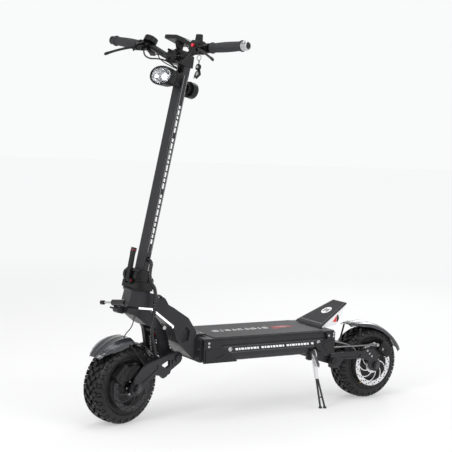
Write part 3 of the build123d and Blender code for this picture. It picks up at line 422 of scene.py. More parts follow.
def tube(line, radius, sides=12, wrap=0.0, pitch=0.0):
    """A tube along a line; with a wrap it is wound round with a raised spiral band."""
    band, groove = 0.72, 0.6
    verts, normal, run = [], None, 0.0
    for i, point in enumerate(line):
        ahead = line[min(i + 1, len(line) - 1)] - line[max(i - 1, 0)]
        ahead.normalize()
        if normal is None:
            normal = ahead.orthogonal().normalized()
        normal = (normal - ahead * normal.dot(ahead)).normalized()
        side = ahead.cross(normal)
        if i:
            run += (point - line[i - 1]).length
        for k, a in enumerate(turns(sides)):
            r = radius
            if wrap:
                phase = (run / pitch - k / sides) % 1.0
                r = radius + (wrap if phase < band else -wrap * groove)
            verts.append(tuple(point + (normal * cos(a) + side * sin(a)) * r))
    return verts, skin(len(line), sides)


def hose_piece(name, points, matrix, radius, look, body, wrap=0.0, pitch=0.006, gap=0.004, sides=12):
    line = resample(smooth_path(points, matrix), gap)
    return piece(name, tube(line, radius * MM, sides, wrap * MM, pitch), UNIT, look, body, sharp=60)


# ---- tyres
# the section, (sideways, radius): over the tread blocks, and between them
CROWN = [(0, 140), (10, 139.9), (20, 139.3), (28, 138.2), (34, 136.6), (39, 133.8), (42.5, 130.0),
         (44.8, 125.0), (46, 119.5), (46.2, 113)]
BASE = [(0, 132.6), (10, 132.5), (19.5, 132.0), (27, 131.0), (32.6, 129.4), (36.8, 126.8), (40.0, 123.4),
        (42.6, 119.6), (44.2, 115.6), (45.3, 111)]
WALL = [(-36, 96), (-37.6, 99.6), (-41.3, 100.0), (-43.2, 102.5), (-44.2, 104.6), (-45.4, 105.4),
        (-45.6, 107.2), (-44.9, 108.2), (-45.3, 110.4), (-45.5, 111)]
ARC = [0.0]
for (y0, r0), (y1, r1) in zip(CROWN, CROWN[1:]):
    ARC.append(ARC[-1] + hypot(y1 - y0, r1 - r0))
# each row of blocks: its place in the pitch, then (distance from the middle, from, to) in shares of the pitch
TREAD = (
    (0, (1.2, -0.20, 0.22, 0), (8, -0.20, 0.26, 0.5), (15.5, -0.12, 0.24, 1)),
    (0.52, (17.5, -0.18, 0.22, 0), (24, -0.20, 0.24, 0), (30, -0.14, 0.20, 0)),
    (0.05, (32, -0.20, 0.24, 0), (38, -0.26, 0.26, 0), (44, -0.26, 0.26, 0), (50, -0.22, 0.22, 0),
     (55.5, -0.14, 0.14, 0)),
    (0.55, (34, -0.12, 0.14, 0), (40, -0.15, 0.17, 0), (46.5, -0.10, 0.12, 0)),
)


def on_arc(points, t):
    """The (sideways, radius) place at a distance round the tyre's section from its middle."""
    t = max(0.0, min(ARC[-1], abs(t)))
    for i in range(len(ARC) - 1):
        if t <= ARC[i + 1]:
            f = (t - ARC[i]) / (ARC[i + 1] - ARC[i])
            return tuple(a + (b - a) * f for a, b in zip(points[i], points[i + 1]))
    return points[-1]


def knob(stations, side):
    """One tread block: stations of (distance from the middle, start angle, end angle), wider at its foot."""
    verts, faces = [], []
    flare, sunk = radians(0.35), 1.2
    for t, start, end in stations:
        for points, widen, lower in ((BASE, flare, sunk), (CROWN, 0.0, 0.0)):
            y, r = on_arc(points, t)
            r -= lower
            for angle in (start - widen, (start + end) / 2, end + widen):
                verts.append((r * cos(angle), side * y, r * sin(angle)))
    for i in range(len(stations) - 1):
        a, b = i * 6, i * 6 + 6
        for k in range(2):
            faces.append((a + 3 + k, b + 3 + k, b + 4 + k, a + 4 + k))
        faces.append((a, b, b + 3, a + 3))
        faces.append((a + 5, b + 5, b + 2, a + 2))
    for a in (0, (len(stations) - 1) * 6):
        faces.append((a, a + 3, a + 4, a + 1))
        faces.append((a + 1, a + 4, a + 5, a + 2))
    if side < 0:
        faces = [face[::-1] for face in faces]
    return verts, faces


def tyre(name, matrix, body, node):
    half = [(-y, r) for y, r in reversed(BASE)]
    profile = WALL + half + [(-y, r) for y, r in reversed(WALL + half[:-1])]
    parts = [lathe(profile, 120, about="Y")]
    count = 26
    pitch = 2 * pi / count
    skew = 0.20 * pitch
    for i in range(count):
        for side in (1, -1):
            first = (i + (0.5 if side < 0 else 0.0)) * pitch
            for offset, *row in TREAD:
                a = first + offset * pitch
                parts.append(knob([(t, a + low * pitch + skew * lean, a + high * pitch + skew * lean)
                                   for t, low, high, lean in row], side))
    obj = piece(name, join(parts), matrix, TYRE, body, sharp=38)
    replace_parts(obj, node)


tyre("knobbly_tyre_front", FRONT_WHEEL, "front_wheel", "front_tyre")
tyre("knobbly_tyre_rear", REAR_WHEEL, "rear_wheel", "rear_tyre")


def wheel_trim(end, matrix, body, valve_at):
    """Disc screws, cover screws, valve and rim beads of one wheel."""
    screws(f"{end}_disc_screws", [((25 * cos(a), 62.6, 25 * sin(a)), (0, 1, 0)) for a in turns(6)],
           matrix, STEEL, body, radius=4.2, height=2.4)
    ring = [pi / 6 * i + 0.2 for i in range(12)]
    places = [((r * cos(a), y, r * sin(a)), (cos(a) * lean, out, sin(a) * lean))
              for r, y, lean, out in ((61, 45.4, 0.2, 1), (60, -47.2, 0.12, -1)) for a in ring]
    screws(f"{end}_cover_screws", places, matrix, DARK_STEEL, body, radius=3.6, height=2.2)
    stem = lathe([(0, 0.01), (0, 3.4), (5, 3.4), (5.4, 4.3), (13, 4.3), (14, 3.2), (14, 0.01)], 16)
    x, z = cos(radians(valve_at)), sin(radians(valve_at))
    foot = aim((88 * x, 37, 88 * z), (-0.5 * x, 0.75, -0.5 * z))
    piece(f"{end}_valve", moved(stem, foot), matrix, BRASS, body)
    bead = [(41.2, 92), (42.6, 94), (42.6, 97.5), (41.2, 99.2)]
    beads = join([lathe(bead, 96, about="Y"), lathe([(-y, r) for y, r in bead[::-1]], 96, about="Y")])
    piece(f"{end}_rim_beads", beads, matrix, TRIM_GREY, body)


wheel_trim("front", FRONT_WHEEL, "front_wheel", 250)
wheel_trim("rear", REAR_WHEEL, "rear_wheel", 300)


# ---- brake discs
def brake_disc(name, matrix, look, body, node):
    """A drilled ring on swept spokes, two millimetres thick."""
    low, high = 60.5, 62.5
    inner, outer = 66.5, 85.6
    hub, bore, boss = 30, 20, 34
    cells, rim_steps, spokes, spoke_steps = 48, 144, 9, 8
    verts, faces = [], []

    def pierced(edge, hole):
        """The ground between an outline and a hole, on both sides of the disc, and the hole's wall."""
        n, base = len(edge), len(verts)
        for y in (low, high):
            verts.extend((u, y, v) for u, v in edge)
            verts.extend((u, y, v) for u, v in hole)
        for i in range(n):
            k = (i + 1) % n
            faces.append((base + 2 * n + i, base + 2 * n + k, base + 3 * n + k, base + 3 * n + i))
            faces.append((base + i, base + n + i, base + n + k, base + k))
            faces.append((base + n + i, base + 3 * n + i, base + 3 * n + k, base + n + k))

    for i in range(cells):
        a, b = 2 * pi * i / cells, 2 * pi * (i + 1) / cells
        middle = (a + b) / 2
        radius = (70.8, 76.0, 81.2)[i % 3]
        edge, hole = [], []
        for turn in turns(16):
            u, v = cos(turn + 0.001), sin(turn + 0.001)
            m = max(abs(u), abs(v))
            r = (inner + outer) / 2 + (outer - inner) / 2 * u / m
            w = middle + (b - a) / 2 * v / m
            edge.append((r * cos(w), r * sin(w)))
            hole.append(((radius + 3.1 * u) * cos(middle) - 2.9 * v * sin(middle),
                         (radius + 3.1 * u) * sin(middle) + 2.9 * v * cos(middle)))
        pierced(edge, hole)
    for r, out in ((outer, True), (inner, False)):
        base = len(verts)
        for t in turns(rim_steps):
            verts.extend([(r * cos(t), low, r * sin(t)), (r * cos(t), high, r * sin(t))])
        for i in range(rim_steps):
            p, q = base + 2 * i, base + 2 * ((i + 1) % rim_steps)
            faces.append((p, p + 1, q + 1, q) if out else (p, q, q + 1, p + 1))
    for start in turns(spokes):
        base = len(verts)
        for k in range(spoke_steps + 1):
            f = k / spoke_steps
            r = hub + (inner + 1.0 - hub) * f
            t = start + 0.66 * f ** 1.3
            half = (3.2 - 1.2 * sin(pi * min(1.0, f * 1.1))) / r
            for turn in (t - half, t + half):
                for y in (low + 0.1, high - 0.1):
                    verts.append((r * cos(turn), y, r * sin(turn)))
        for k in range(spoke_steps):
            p, q = base + 4 * k, base + 4 * k + 4
            faces += [(p + 1, q + 1, q + 3, p + 3), (p, p + 2, q + 2, q), (p, q, q + 1, p + 1),
                      (p + 2, p + 3, q + 3, q + 2)]
        end = base + 4 * spoke_steps
        faces += [(base, base + 1, base + 3, base + 2), (end, end + 2, end + 3, end + 1)]
    ring = lathe([(low, bore), (low, boss), (high, boss), (high, bore)], 72, closed=True, about="Y")
    obj = piece(name, join([(verts, faces), ring]), matrix, look, body, sharp=30)
    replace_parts(obj, node)


brake_disc("brake_disc_front", FRONT_WHEEL, DARK_DISC, "front_wheel", "front_rotor")
brake_disc("brake_disc_rear", REAR_WHEEL, DISC, "rear_wheel", "rear_rotor")


# ---- steering damper rod
def on_damper(y):
    return Vector((74, y, 422.8 + 0.1833 * y))


DAMPER_RUN = on_damper(-1) - on_damper(0)
shaft = lathe([(0, 0.01), (0, 3.6), (82.3, 3.6), (82.3, 0.01)], 20)
bar = piece("damper_shaft", moved(shaft, aim(on_damper(12), DAMPER_RUN)), COCKPIT, STEEL, "damper_rod")
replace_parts(bar, "damper_rod")
tip = lathe([(0, 3.7), (0, 6.6), (1, 7.6), (4, 7.6), (4.6, 6.4), (6, 6.4), (6.6, 7.8), (15.4, 7.8),
             (16.8, 6.6), (17, 4.0), (15.6, 3.4), (15.6, 0.01)], 28)
piece("damper_tip", moved(tip, aim(on_damper(-69), DAMPER_RUN)), COCKPIT, GLOSS, "damper_rod")


# ---- fenders
def between(table, x):
    """The values at x in a table of (x, values...), eased from row to row."""
    for (x0, *a), (x1, *b) in zip(table, table[1:]):
        if x <= x1:
            f = max(0.0, min(1.0, (x - x0) / (x1 - x0)))
            f = f * f * (3 - 2 * f)
            return [p + (q - p) * f for p, q in zip(a, b)]
    return table[-1][1:]


def guard(name, verts, steps, across, matrix, body, thickness, even):
    """A shell from a strip of points, (steps + 1) rows of (across + 1)."""
    faces = []
    for i in range(steps):
        for j in range(across):
            a = i * (across + 1) + j
            faces.append((a, a + across + 1, a + across + 2, a + 1))
    obj = piece(name, (verts, faces), matrix, FENDER, body, sharp=50)
    shell = obj.modifiers.new("shell", "SOLIDIFY")
    shell.thickness, shell.offset, shell.use_even_offset = thickness, 1.0, even
    return obj


def fender(name, centre, crown, table, matrix, body, node):
    """A moulded mudguard: a domed strip with raised ribs along it and side skirts that deepen.

    Each row of the table is (angle, half width, skirt depth, lift)."""
    verts = []
    start, end = table[0][0], table[-1][0]
    steps, across, top, fall = 56, 48, 0.74, 7.5
    for i in range(steps + 1):
        angle = start + (end - start) * i / steps
        width, depth, lift = between(table, angle)
        a = radians(angle)
        for j in range(across + 1):
            u = -1 + 2 * j / across
            k = abs(u)
            if k <= top:
                w = k / top
                y = width * 0.93 * w
                rib = 1.5 * max(0.0, cos(w * pi * 3.6)) ** 2 * (1 if w < 0.9 else 0)
                r = crown + lift - fall * w ** 3.4 + rib
            else:
                w = (k - top) / (1 - top)
                y = width * (0.93 + 0.07 * sin(w * pi / 2))
                r = crown + lift - fall - depth * w
            verts.append((centre[0] + r * cos(a), copysign(y, u), centre[1] + r * sin(a)))
    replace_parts(guard(name, verts, steps, across, matrix, body, 0.0026, True), node)


fender("front_mudguard", (552, 146), 161.5,
       [(40.3, 26, 1, 1.5), (46, 35, 2, 1.0), (54, 43, 8, 0.3), (62, 48, 17, 0), (72, 51, 22, 0),
        (84, 52, 20, 0), (92, 52, 14, 0), (97, 50, 9, 0)], STEERED, "front_arm", "front_fender")
fender("rear_mudguard", (-499, 70), 236.0,
       [(76, 34, 1, 0.5), (82, 45, 3, 0.3), (92, 51, 9, 0), (110, 52, 12, 0), (132, 52, 13, 0),
        (145, 51, 17, 0), (149, 48, 15, 0)], STRAIGHT, "rear_arm", "rear_fender")

# the narrower tail piece under the front mudguard's rear edge
TAIL_STEPS, TAIL_ACROSS = 30, 16
verts = []
for i in range(TAIL_STEPS + 1):
    a = radians(88 + 53 * i / TAIL_STEPS)
    for j in range(TAIL_ACROSS + 1):
        u = -1 + 2 * j / TAIL_ACROSS
        r = 152.5 - 4.5 * abs(u) ** 5 + 5.0 * max(0.0, 1 - i / 6)
        verts.append((542 + r * cos(a), 42 * u, 140 + r * sin(a)))
guard("front_mudguard_tail", verts, TAIL_STEPS, TAIL_ACROSS, STEERED, "front_arm", 0.0024, False)

for end, matrix, run in (
        ("front", STEERED, [(556, 53, 288), (538, 60, 262), (508, 70, 226), (500, 74.9, 210)]),
        ("rear", STRAIGHT, [(-478, 52.5, 286), (-472, 56, 250), (-464, 62, 210), (-462, 67.8, 195)])):
    stays = [tube(resample(smooth_path([(x, side * y, z) for x, y, z in run], matrix), gap=0.006),
                  radius=0.0036, sides=10) for side, tag in SIDES]
    piece(f"{end}_mudguard_stays", join(stays), UNIT, BLACK, f"{end}_arm", sharp=60)


# ---- headlight
LAMP_S = 1217  # the height of the lamp's middle
OVAL_STEPS, OVAL_POWER = 64, 2.12


def oval(half_y, half_s):
    return [(copysign(abs(cos(a)) ** (2 / OVAL_POWER), cos(a)) * half_y,
             copysign(abs(sin(a)) ** (2 / OVAL_POWER), sin(a)) * half_s) for a in turns(OVAL_STEPS)]


def loft(stations, first=False, last=False):
    """Ovals joined in order: (forward, half width, half height), with a middle height where it differs."""
    verts = []
    for p, y, s, *mid in stations:
        verts += [(p, a, (mid[0] if mid else LAMP_S) + b) for a, b in oval(y, s)]
    return verts, skin(len(stations), OVAL_STEPS, first, last)


shell = loft([(36, 10, 9, 1219), (40, 22, 17, 1219), (48, 34, 24, 1218), (58, 43, 29, 1218),
              (72, 50, 32.2, 1217.4), (88, 53.2, 33.6), (98, 54, 34), (100.5, 53.2, 33.2),
              (101.4, 50.6, 30.8), (100, 48.8, 29.0), (93, 48.0, 28.4)], first=True)
arm = ([(14, -15, 1196), (44, -15, 1199), (44, 15, 1199), (14, 15, 1196), (14, -15, 1209), (44, -15, 1212),
        (44, 15, 1212), (14, 15, 1209)],
       [(0, 1, 2, 3), (7, 6, 5, 4), (0, 4, 5, 1), (1, 5, 6, 2), (2, 6, 7, 3), (3, 7, 4, 0)])
lamp = piece("headlight_shell", join([shell, arm]), COCKPIT, PLASTIC, "stem", sharp=32)
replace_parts(lamp, "headlight_housing")
RIB = ((60, 46, 2.2, 30.4, 0.9), (61, 48.4, 2.0, 32.0, 0.7), (63.5, 48.8, 2.0, 32.2, 0.7),
       (64.5, 47, 2.2, 31.0, 0.9))
ribs = [loft([(p + 9 * k, y + wider * k, s + taller * k, 1217.6) for p, y, wider, s, taller in RIB])
        for k in range(3)]
piece("headlight_cooling_ribs", join(ribs), COCKPIT, PLASTIC, "stem", sharp=40)
bowl = loft([(95.5, 48.6, 28.8), (92, 46, 27.6), (86, 37, 22), (80, 25, 16), (77, 15, 12), (76.4, 8, 7.5)],
            last=True)
piece("headlight_reflector", bowl, COCKPIT, REFLECTOR, "stem", sharp=50)
core = lathe([(0, 12.5), (3, 12.5), (4, 11.5), (7, 9.5), (9.6, 6), (10.8, 2.4), (11, 0.01)], 32)
rim = lathe([(0, 15.5), (4.5, 15.5), (5.2, 14.6), (4.6, 12.4), (0, 12.4)], 32)
forward = aim((77, 0, LAMP_S), (1, 0, 0))
piece("headlight_core", moved(core, forward), COCKPIT, LAMP, "stem")
piece("headlight_core_ring", moved(rim, forward), COCKPIT, STEEL, "stem")
glass = loft([(96, 48.2, 28.5), (98.6, 47.8, 28.2), (100.2, 44, 26), (101.6, 32, 19), (102.4, 16, 10),
              (102.6, 2, 1.4)], first=True, last=True)
lens = piece("headlight_glass", glass, COCKPIT, GLASS, "stem", sharp=50)
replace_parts(lens, "headlight_lens")


# ---- grips and bar ends
profile = [(0, 11.4), (0, 18.6), (1.2, 19.2), (4.0, 19.2), (5.0, 17.6)]
for i in range(34):
    z = 6 + i * 3.7
    swell = 16.1 + 1.3 * sin(pi * min(1.0, max(0.0, (z - 12) / 108))) ** 1.4
    profile += [(z, swell), (z + 0.7, swell - 0.35), (z + 1.3, swell - 0.35), (z + 2.0, swell)]
profile += [(131.5, 16.4), (132.4, 18.8), (133.4, 19.2), (135.6, 19.2), (136.4, 18.6), (136.4, 11.4)]
grips = []
for side, tag in SIDES:
    start, end = bar_at(side * 175), bar_at(side * 334)
    grips.append(moved(lathe(profile, 40), aim(start, end - start)))
rubber = piece("ribbed_grips", join(grips), COCKPIT, RUBBER, "stem", sharp=45)
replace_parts(rubber, "grips")
cap = lathe([(0, 11.4), (0, 15.4), (1, 16.4), (9, 16.4), (10.5, 15.0), (12, 15.6), (20.5, 15.6), (22.6, 13.6),
             (23.4, 9.0), (21.8, 6.0), (21.8, 0.01)], 40)
for side, tag in SIDES:
    start, end = bar_at(side * 311.6), bar_at(side * 334)
    look = STEEL if side > 0 else GLOSS
    piece(f"bar_end_{tag}", moved(cap, aim(start, end - start)), COCKPIT, look, "stem")


# ---- brake levers
# (along the lever, forward, half width, half thickness, drop)
BLADE = [(-8, -1.5, 3.0, 2.6, 0), (-6, -1, 6.0, 4.2, 0), (0, 0, 8.0, 5.2, 0), (9, 1, 7.6, 5.2, 0),
         (24, 8, 6.2, 4.6, 0.5), (44, 16, 5.6, 4.3, 1.6), (66, 23, 5.6, 4.2, 3.0), (84, 28, 5.8, 4.3, 4.6),
         (96, 31, 6.0, 4.6, 5.8), (104, 33, 6.8, 6.0, 6.6), (110, 34.5, 6.2, 5.6, 7.2),
         (113.5, 35.2, 3.0, 2.8, 7.6)]


def blade(side, node):
    """A forged brake lever: oval section, curling out to a rounded end."""
    n = 20
    verts = [(102 + u + wide * cos(a), side * (160 + 0.954 * v), 1312.2 - 0.3 * v - drop + thick * sin(a))
             for v, u, wide, thick, drop in BLADE for a in turns(n)]
    faces = skin(len(BLADE), n)
    if side < 0:
        faces = [face[::-1] for face in faces]
    obj = piece(node + "_blade", (verts, faces), COCKPIT, BLACK, node, sharp=60)
    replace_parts(obj, node)
    soft = obj.modifiers.new("smooth", "SUBSURF")
    soft.levels = soft.render_levels = 1


blade(1, "brake_lever_left")
blade(-1, "brake_lever_right")


# ---- shock springs
def shock_spring(end, top, low, wire, radius, matrix):
    """A coil spring between the damper body and its rod."""
    coils, steps, seat = 6.5, 280, 4.1
    head, foot = Vector(top), Vector(low)
    length = (foot - head).length
    run = (foot - head).normalized()
    across = Vector((0, 1, 0))
    out = run.cross(across)
    first, last = length * 0.16 + seat + wire, length * 0.84 - seat - wire
    line = []
    for k in range(steps + 1):
        t = k / steps
        along = first + (last - first) * (t - 0.035 * sin(2 * pi * t))
        a = 2 * pi * coils * t
        line.append(matrix @ (head + run * along + (across * cos(a) + out * sin(a)) * radius))
    obj = piece(f"{end}_coil_spring", tube(line, wire * MM, sides=10), UNIT, SPRING, None, sharp=60)
    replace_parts(obj, f"{end}_shock_springs")
    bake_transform(obj)


shock_spring("front", (402, 0, 314), (381, 0, 209), 2.6, 13.6, STEERED)
shock_spring("rear", (-312, 0, 252), (-397, 0, 224), 2.2, 11.3, STRAIGHT)


# ---- headset cover, preload ring, fold lever trims
COVER_SIDES = 64
cover = [(475.2, 0.55), (474.5, 0.97), (475.3, 1.0), (478.9, 1.0), (479.6, 0.97), (479.2, 0.55)]
plan = [(44.5 * copysign(abs(cos(a)) ** 0.4, cos(a)), 34.5 * copysign(abs(sin(a)) ** 0.4, sin(a)))
        for a in [pi / 32 * i for i in range(COVER_SIDES)]]
verts = [(1 + p * k, y * k, s) for s, k in cover for p, y in plan]
faces = []
for ring in range(len(cover)):
    for i in range(COVER_SIDES):
        a, b, k = ring * COVER_SIDES, (ring + 1) % len(cover) * COVER_SIDES, (i + 1) % COVER_SIDES
        faces.append((a + k, b + k, b + i, a + i))
piece("headset_cover", (verts, faces), COCKPIT, BLACK, "fork")
ring = lathe([(12.6, 8.2), (12.6, 10.2), (13.3, 10.8), (16.0, 10.8), (16.7, 10.2), (16.7, 8.2)], 32,
             closed=True)
ring = moved(ring, aim((402, 0, 314), Vector((-21, 0, -105)).normalized()))
piece("front_shock_preload_ring", ring, STEERED, RED_GLOSS, "front_shock_bodies")
band = lathe([(-1.8, 9.6), (-1.8, 10.2), (-1.3, 10.6), (1.3, 10.6), (1.8, 10.2), (1.8, 9.6)], 32, closed=True)
button = lathe([(0, 0.01), (0, 4.2), (2.0, 4.2), (2.8, 3.4), (2.8, 0.01)], 24)
trims = join([moved(band, aim((54.4, 0, 611), (-0.095, 0, 0.995))),
              moved(button, aim((52.5, 16.1, 506.5), (0, 1, 0)))])
piece("fold_lever_trims", trims, COCKPIT, DEEP_RED, "fold_lever")


# ---- keys and alarm fob
def slab(outline, low, high):
    """A flat piece with a bevelled rim from an outline of (y, s)."""
    n = len(outline)
    rim, shrink = 1.2, 0.9
    cy, cs = sum(y for y, s in outline) / n, sum(s for y, s in outline) / n
    levels = ((low, shrink), (low + rim, 1.0), (high - rim, 1.0), (high, shrink))
    return [(p, cy + (y - cy) * k, cs + (s - cs) * k) for p, k in levels for y, s in outline], skin(4, n)


def round_outline(y, s, ry, rs):
    return [(y + ry * cos(a), s + rs * sin(a)) for a in turns(28)]


ring = lathe([(-0.9, 8.2), (-0.9, 10), (0.9, 10), (0.9, 8.2)], 40, closed=True)
key = piece("key_ring", moved(ring, aim((30.9, 96, 1300), (1, 0, 0))), COCKPIT, STEEL, "keys")
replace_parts(key, "keys")
fob = [slab(round_outline(99, 1268, 10.5, 11.5), 24, 33),
       slab([(87, 1252), (104, 1262), (113, 1244), (97, 1228), (84, 1236)], 21, 27)]
piece("alarm_fob", join(fob), COCKPIT, PLASTIC, "keys", sharp=30)
trims = [slab(round_outline(99, 1268, 5.0, 5.5), 33, 34.6),
         slab([(91, 1248), (101, 1254), (106, 1244), (96, 1235)], 27, 28.4),
         slab([(84, 1236), (89, 1236), (86, 1228), (82, 1229)], 22, 25)]
piece("fob_trims", join(trims), COCKPIT, STEEL, "keys", sharp=30)
for label, run in (("fob_cord_a", [(30, 96, 1291), (29, 97, 1286), (28, 98, 1279)]),
                   ("fob_cord_b", [(32, 101, 1292), (33, 104, 1280), (28, 100, 1262)])):
    hose_piece(label, run, COCKPIT, 1.2, HOSE, "keys", gap=0.002, sides=8)


# ---- printed marks, none of them lettering, and painted highlights along the stem's edges
DECK_SIDE, DECK_TOP = 119.05, 303.05
STEM_SIDE, STEM_EDGE = 21.05, 22.02
DISPLAY_TOP = 1363.1
REST_RUN = Vector((-147, 0, 77.5)).normalized()
REST_UP = Vector((77.5, 0, 147)).normalized()


def thin_sheets(name, shapes, place, thick, matrix, look, body):
    """Thin raised sheets: closed outlines in a plane, given thickness by place(u, v, height); they carry
    print, and painted highlights on the stem's edges.
    """
    verts, faces = [], []
    for shape in shapes:
        n, base = len(shape), len(verts)
        verts += [place(u, v, 0.0) for u, v in shape] + [place(u, v, thick) for u, v in shape]
        faces.append(tuple(base + n + i for i in range(n)))
        faces.append(tuple(base + i for i in range(n))[::-1])
        for i in range(n):
            k = (i + 1) % n
            faces.append((base + i, base + k, base + n + k, base + n + i))
    piece(name, (verts, faces), matrix, look, body, smooth=False)


def slanted(x0, x1, z0, z1, lean):
    return [(x0, z0), (x1, z0), (x1 + lean, z1), (x0 + lean, z1)]


def ring_print(u, v, outer, inner, steps=28):
    """A ring as short closed segments."""
    angles = turns(steps) + [2 * pi]
    return [[(u + inner * cos(a), v + inner * sin(a)), (u + outer * cos(a), v + outer * sin(a)),
             (u + outer * cos(b), v + outer * sin(b)), (u + inner * cos(b), v + inner * sin(b))]
            for a, b in zip(angles, angles[1:])]


def on_side(side, depth):
    """The place of a print on an upright face, its height counted outward."""
    return lambda u, v, h: (u, side * (depth + h), v)


def on_top(level):
    return lambda u, v, h: (u, v, level + h)


def on_rest(u, v, h):
    """A place on the sloping footrest."""
    foot = Vector((-259, 0, 312)) + REST_RUN * u + REST_UP * (h + 0.05)
    return (foot.x, v, foot.z)


WIDTHS = [11, 7, 12, 7, 11, 9, 13, 7]
for side, tag in SIDES:
    marks, x, k = [], 148.0, 0
    while x > -196:
        width = WIDTHS[k % len(WIDTHS)]
        marks.append(slanted(x - width, x, 253.5, 261.0, 2.4))
        x -= width + 3.4
        k += 1
        if k % len(WIDTHS) == 0:
            x -= 8
    for middle in (171, -222):
        marks += ring_print(middle, 258.5, 7.6, 6.2)
        marks += [slanted(middle + x0, middle + x0 + 2.4, 255, 262, 0.6) for x0 in (-2.8, 0.8)]
    thin_sheets(f"deck_side_marks_{tag}", marks, on_side(side, DECK_SIDE), 0.35, STRAIGHT, WHITE, "frame")
    edges = [[(190, 246.2), (-236, 246.2), (-236, 247.0), (190, 247.0)],
             [(196, 268.6), (-240, 268.6), (-240, 267.9), (196, 267.9)]]
    thin_sheets(f"deck_side_lines_{tag}", edges, on_side(side, DECK_SIDE), 0.3, STRAIGHT, GREY_PRINT, "frame")

marks, x, k = [], 178.0, 0
while x > -70:
    width = [21, 12, 18, 12, 22, 15][k % 6]
    marks.append(slanted(x - width, x, 7.5, 12.5, -1.5))
    marks.append(slanted(x - width - 4, x - width * 0.3 - 4, -12.5, -7.5, -1.5))
    if k % 2 == 0:
        marks.append(slanted(x - 4, x, -8.5, 8.5, -6))
    if k % 3 != 1:
        marks.append(slanted(x - width, x - width + 4, -8.5, 8.5, -6))
    x -= width + 11
    k += 1
thin_sheets("deck_top_marks", marks, on_top(DECK_TOP), 0.25, STRAIGHT, WHITE, "frame")
marks = [[(-80, -8), (-110, -8), (-138, 16), (-116, 16)], [(-124, -14), (-152, -14), (-182, 10), (-158, 10)],
         [(-92, 14), (-106, 26), (-84, 26), (-76, 16)]]
thin_sheets("deck_top_red_marks", marks, on_top(DECK_TOP), 0.25, STRAIGHT, RED, "frame")
marks = [[(-118, -12), (-122, -12), (-148, 12), (-144, 12)]]
thin_sheets("deck_top_small_marks", marks, on_top(DECK_TOP), 0.25, STRAIGHT, WHITE, "frame")

badge = [(96 + 22 * cos(a), 22 * sin(a)) for a in turns(32)]
thin_sheets("footrest_badge", [badge], on_rest, 0.3, STRAIGHT, WHITE, "frame")
bars = [slanted(84, 104, -12, -6.5, 4), slanted(88, 100, -2.5, 3, 4), slanted(84, 104, 7, 12.5, 4)]
thin_sheets("footrest_badge_bars", bars, lambda u, v, h: on_rest(u, v, h + 0.3), 0.25, STRAIGHT, BLACK, "frame")
tape = [[(16, -70), (160, -36), (160, -34.6), (16, -68.6)], [(16, 70), (16, 68.6), (160, 34.6), (160, 36)],
        [(12, -71), (16, -70), (16, 70), (12, 71)]]
thin_sheets("footrest_grip_tape", tape, on_rest, 0.3, STRAIGHT, GREY_PRINT, "frame")

for side, tag in SIDES:
    outline = [(-354.6, 346), (-354.6, 318.4), (-361, 318.4), (-368, 331), (-362, 346)]
    thin_sheets(f"tail_light_bezel_{tag}", [outline],
           lambda u, v, h, s=side: (u, s * (80.1 + 0.25 * (u + 250) + h), v), 0.5, STRAIGHT, BLACK, "frame")
    marks, s, k = [], 642.0, 0
    while s < 1128:
        height = [16, 11, 19, 12, 17, 21, 10][k % 7]
        marks.append([(-4.2, s), (3.2, s + 1.6), (3.2, s + height + 1.6), (-4.2, s + height)])
        s += height + 5.2
        k += 1
        if k % 9 == 0:
            s += 16
    thin_sheets(f"stem_marks_{tag}", marks, on_side(side, STEM_SIDE), 0.3, COCKPIT, WHITE, "stem")
    # painted highlights: pale lines down the front and back edges of each side of the stem stand in for the
    # light those edges catch
    lines = [[(x, 612), (x + 1.1, 612), (x + 1.1, 1240), (x, 1240)] for x in (-9.6, 7.2)]
    thin_sheets(f"stem_painted_highlight_lines_{tag}", lines, on_side(side, STEM_EDGE), 0.2, COCKPIT, EDGE_HIGHLIGHT, "stem")


# ---- hoses and leads
bar_hose = hose_piece(
    "bar_hose_right", [(92, -119, 1306), (104, -104, 1286), (98, -78, 1272), (84, -44, 1278), (60, -22, 1276),
                       (34, -8, 1262), (11, -5, 1261)], COCKPIT, 2.8, HOSE, "stem")
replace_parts(bar_hose, "bar_hoses")
for name, radius, run in (
        ("bar_hose_left", 2.8,
         [(92, 119, 1306), (90, 98, 1284), (82, 60, 1266), (52, 24, 1256), (30, 8, 1254), (11, 5, 1253)]),
        ("bar_hose_upper", 2.2,
         [(66, -122, 1330), (78, -96, 1322), (84, -58, 1312), (82, -24, 1300), (70, -8, 1276), (30, -4, 1259),
          (11, -3, 1259)]),
        ("bar_hose_lower", 2.0,
         [(70, -128, 1316), (96, -96, 1296), (100, -56, 1290), (88, -14, 1288), (82, 26, 1290),
          (66, 62, 1300), (60, 90, 1318)]),
        ("display_lead", 1.8, [(40, 84, 1330), (40, 60, 1322), (38, 40, 1330), (36, 26, 1344)]),
        ("throttle_lead", 1.9,
         [(36, -134, 1322), (46, -100, 1308), (58, -60, 1276), (30, -2, 1257), (11, -1, 1257)])):
    hose_piece(name, run, COCKPIT, radius, HOSE, "stem")
hose_piece("bell_lead", [(60, 117, 1345), (66, 108, 1351), (62, 92, 1351), (60, 84, 1350)], COCKPIT, 1.5,
           YELLOW, "stem", gap=0.002)
loom = hose_piece(
    "wrapped_front_loom", [(-2, 14, 588), (-2, 44, 588), (16, 60, 545), (6, 65, 512), (-18, 71, 494),
                           (-29, 74.5, 440), (-35, 75, 382), (-34, 83, 335), (-58, 83, 298), (-76, 83, 264)],
    COCKPIT, 5.9, HOSE, None, wrap=0.7, pitch=0.0105, gap=0.0012, sides=20)
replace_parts(loom, "front_loom")
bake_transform(loom)
hose = hose_piece(
    "rear_brake_hose", [(-290, 58, 252), (-338, 60, 246), (-420, 61, 226), (-448, 63.5, 206),
                        (-452, 63.5, 196)], STRAIGHT, 3.0, GREY_HOSE, None)
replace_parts(hose, "rear_hoses")
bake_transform(hose)
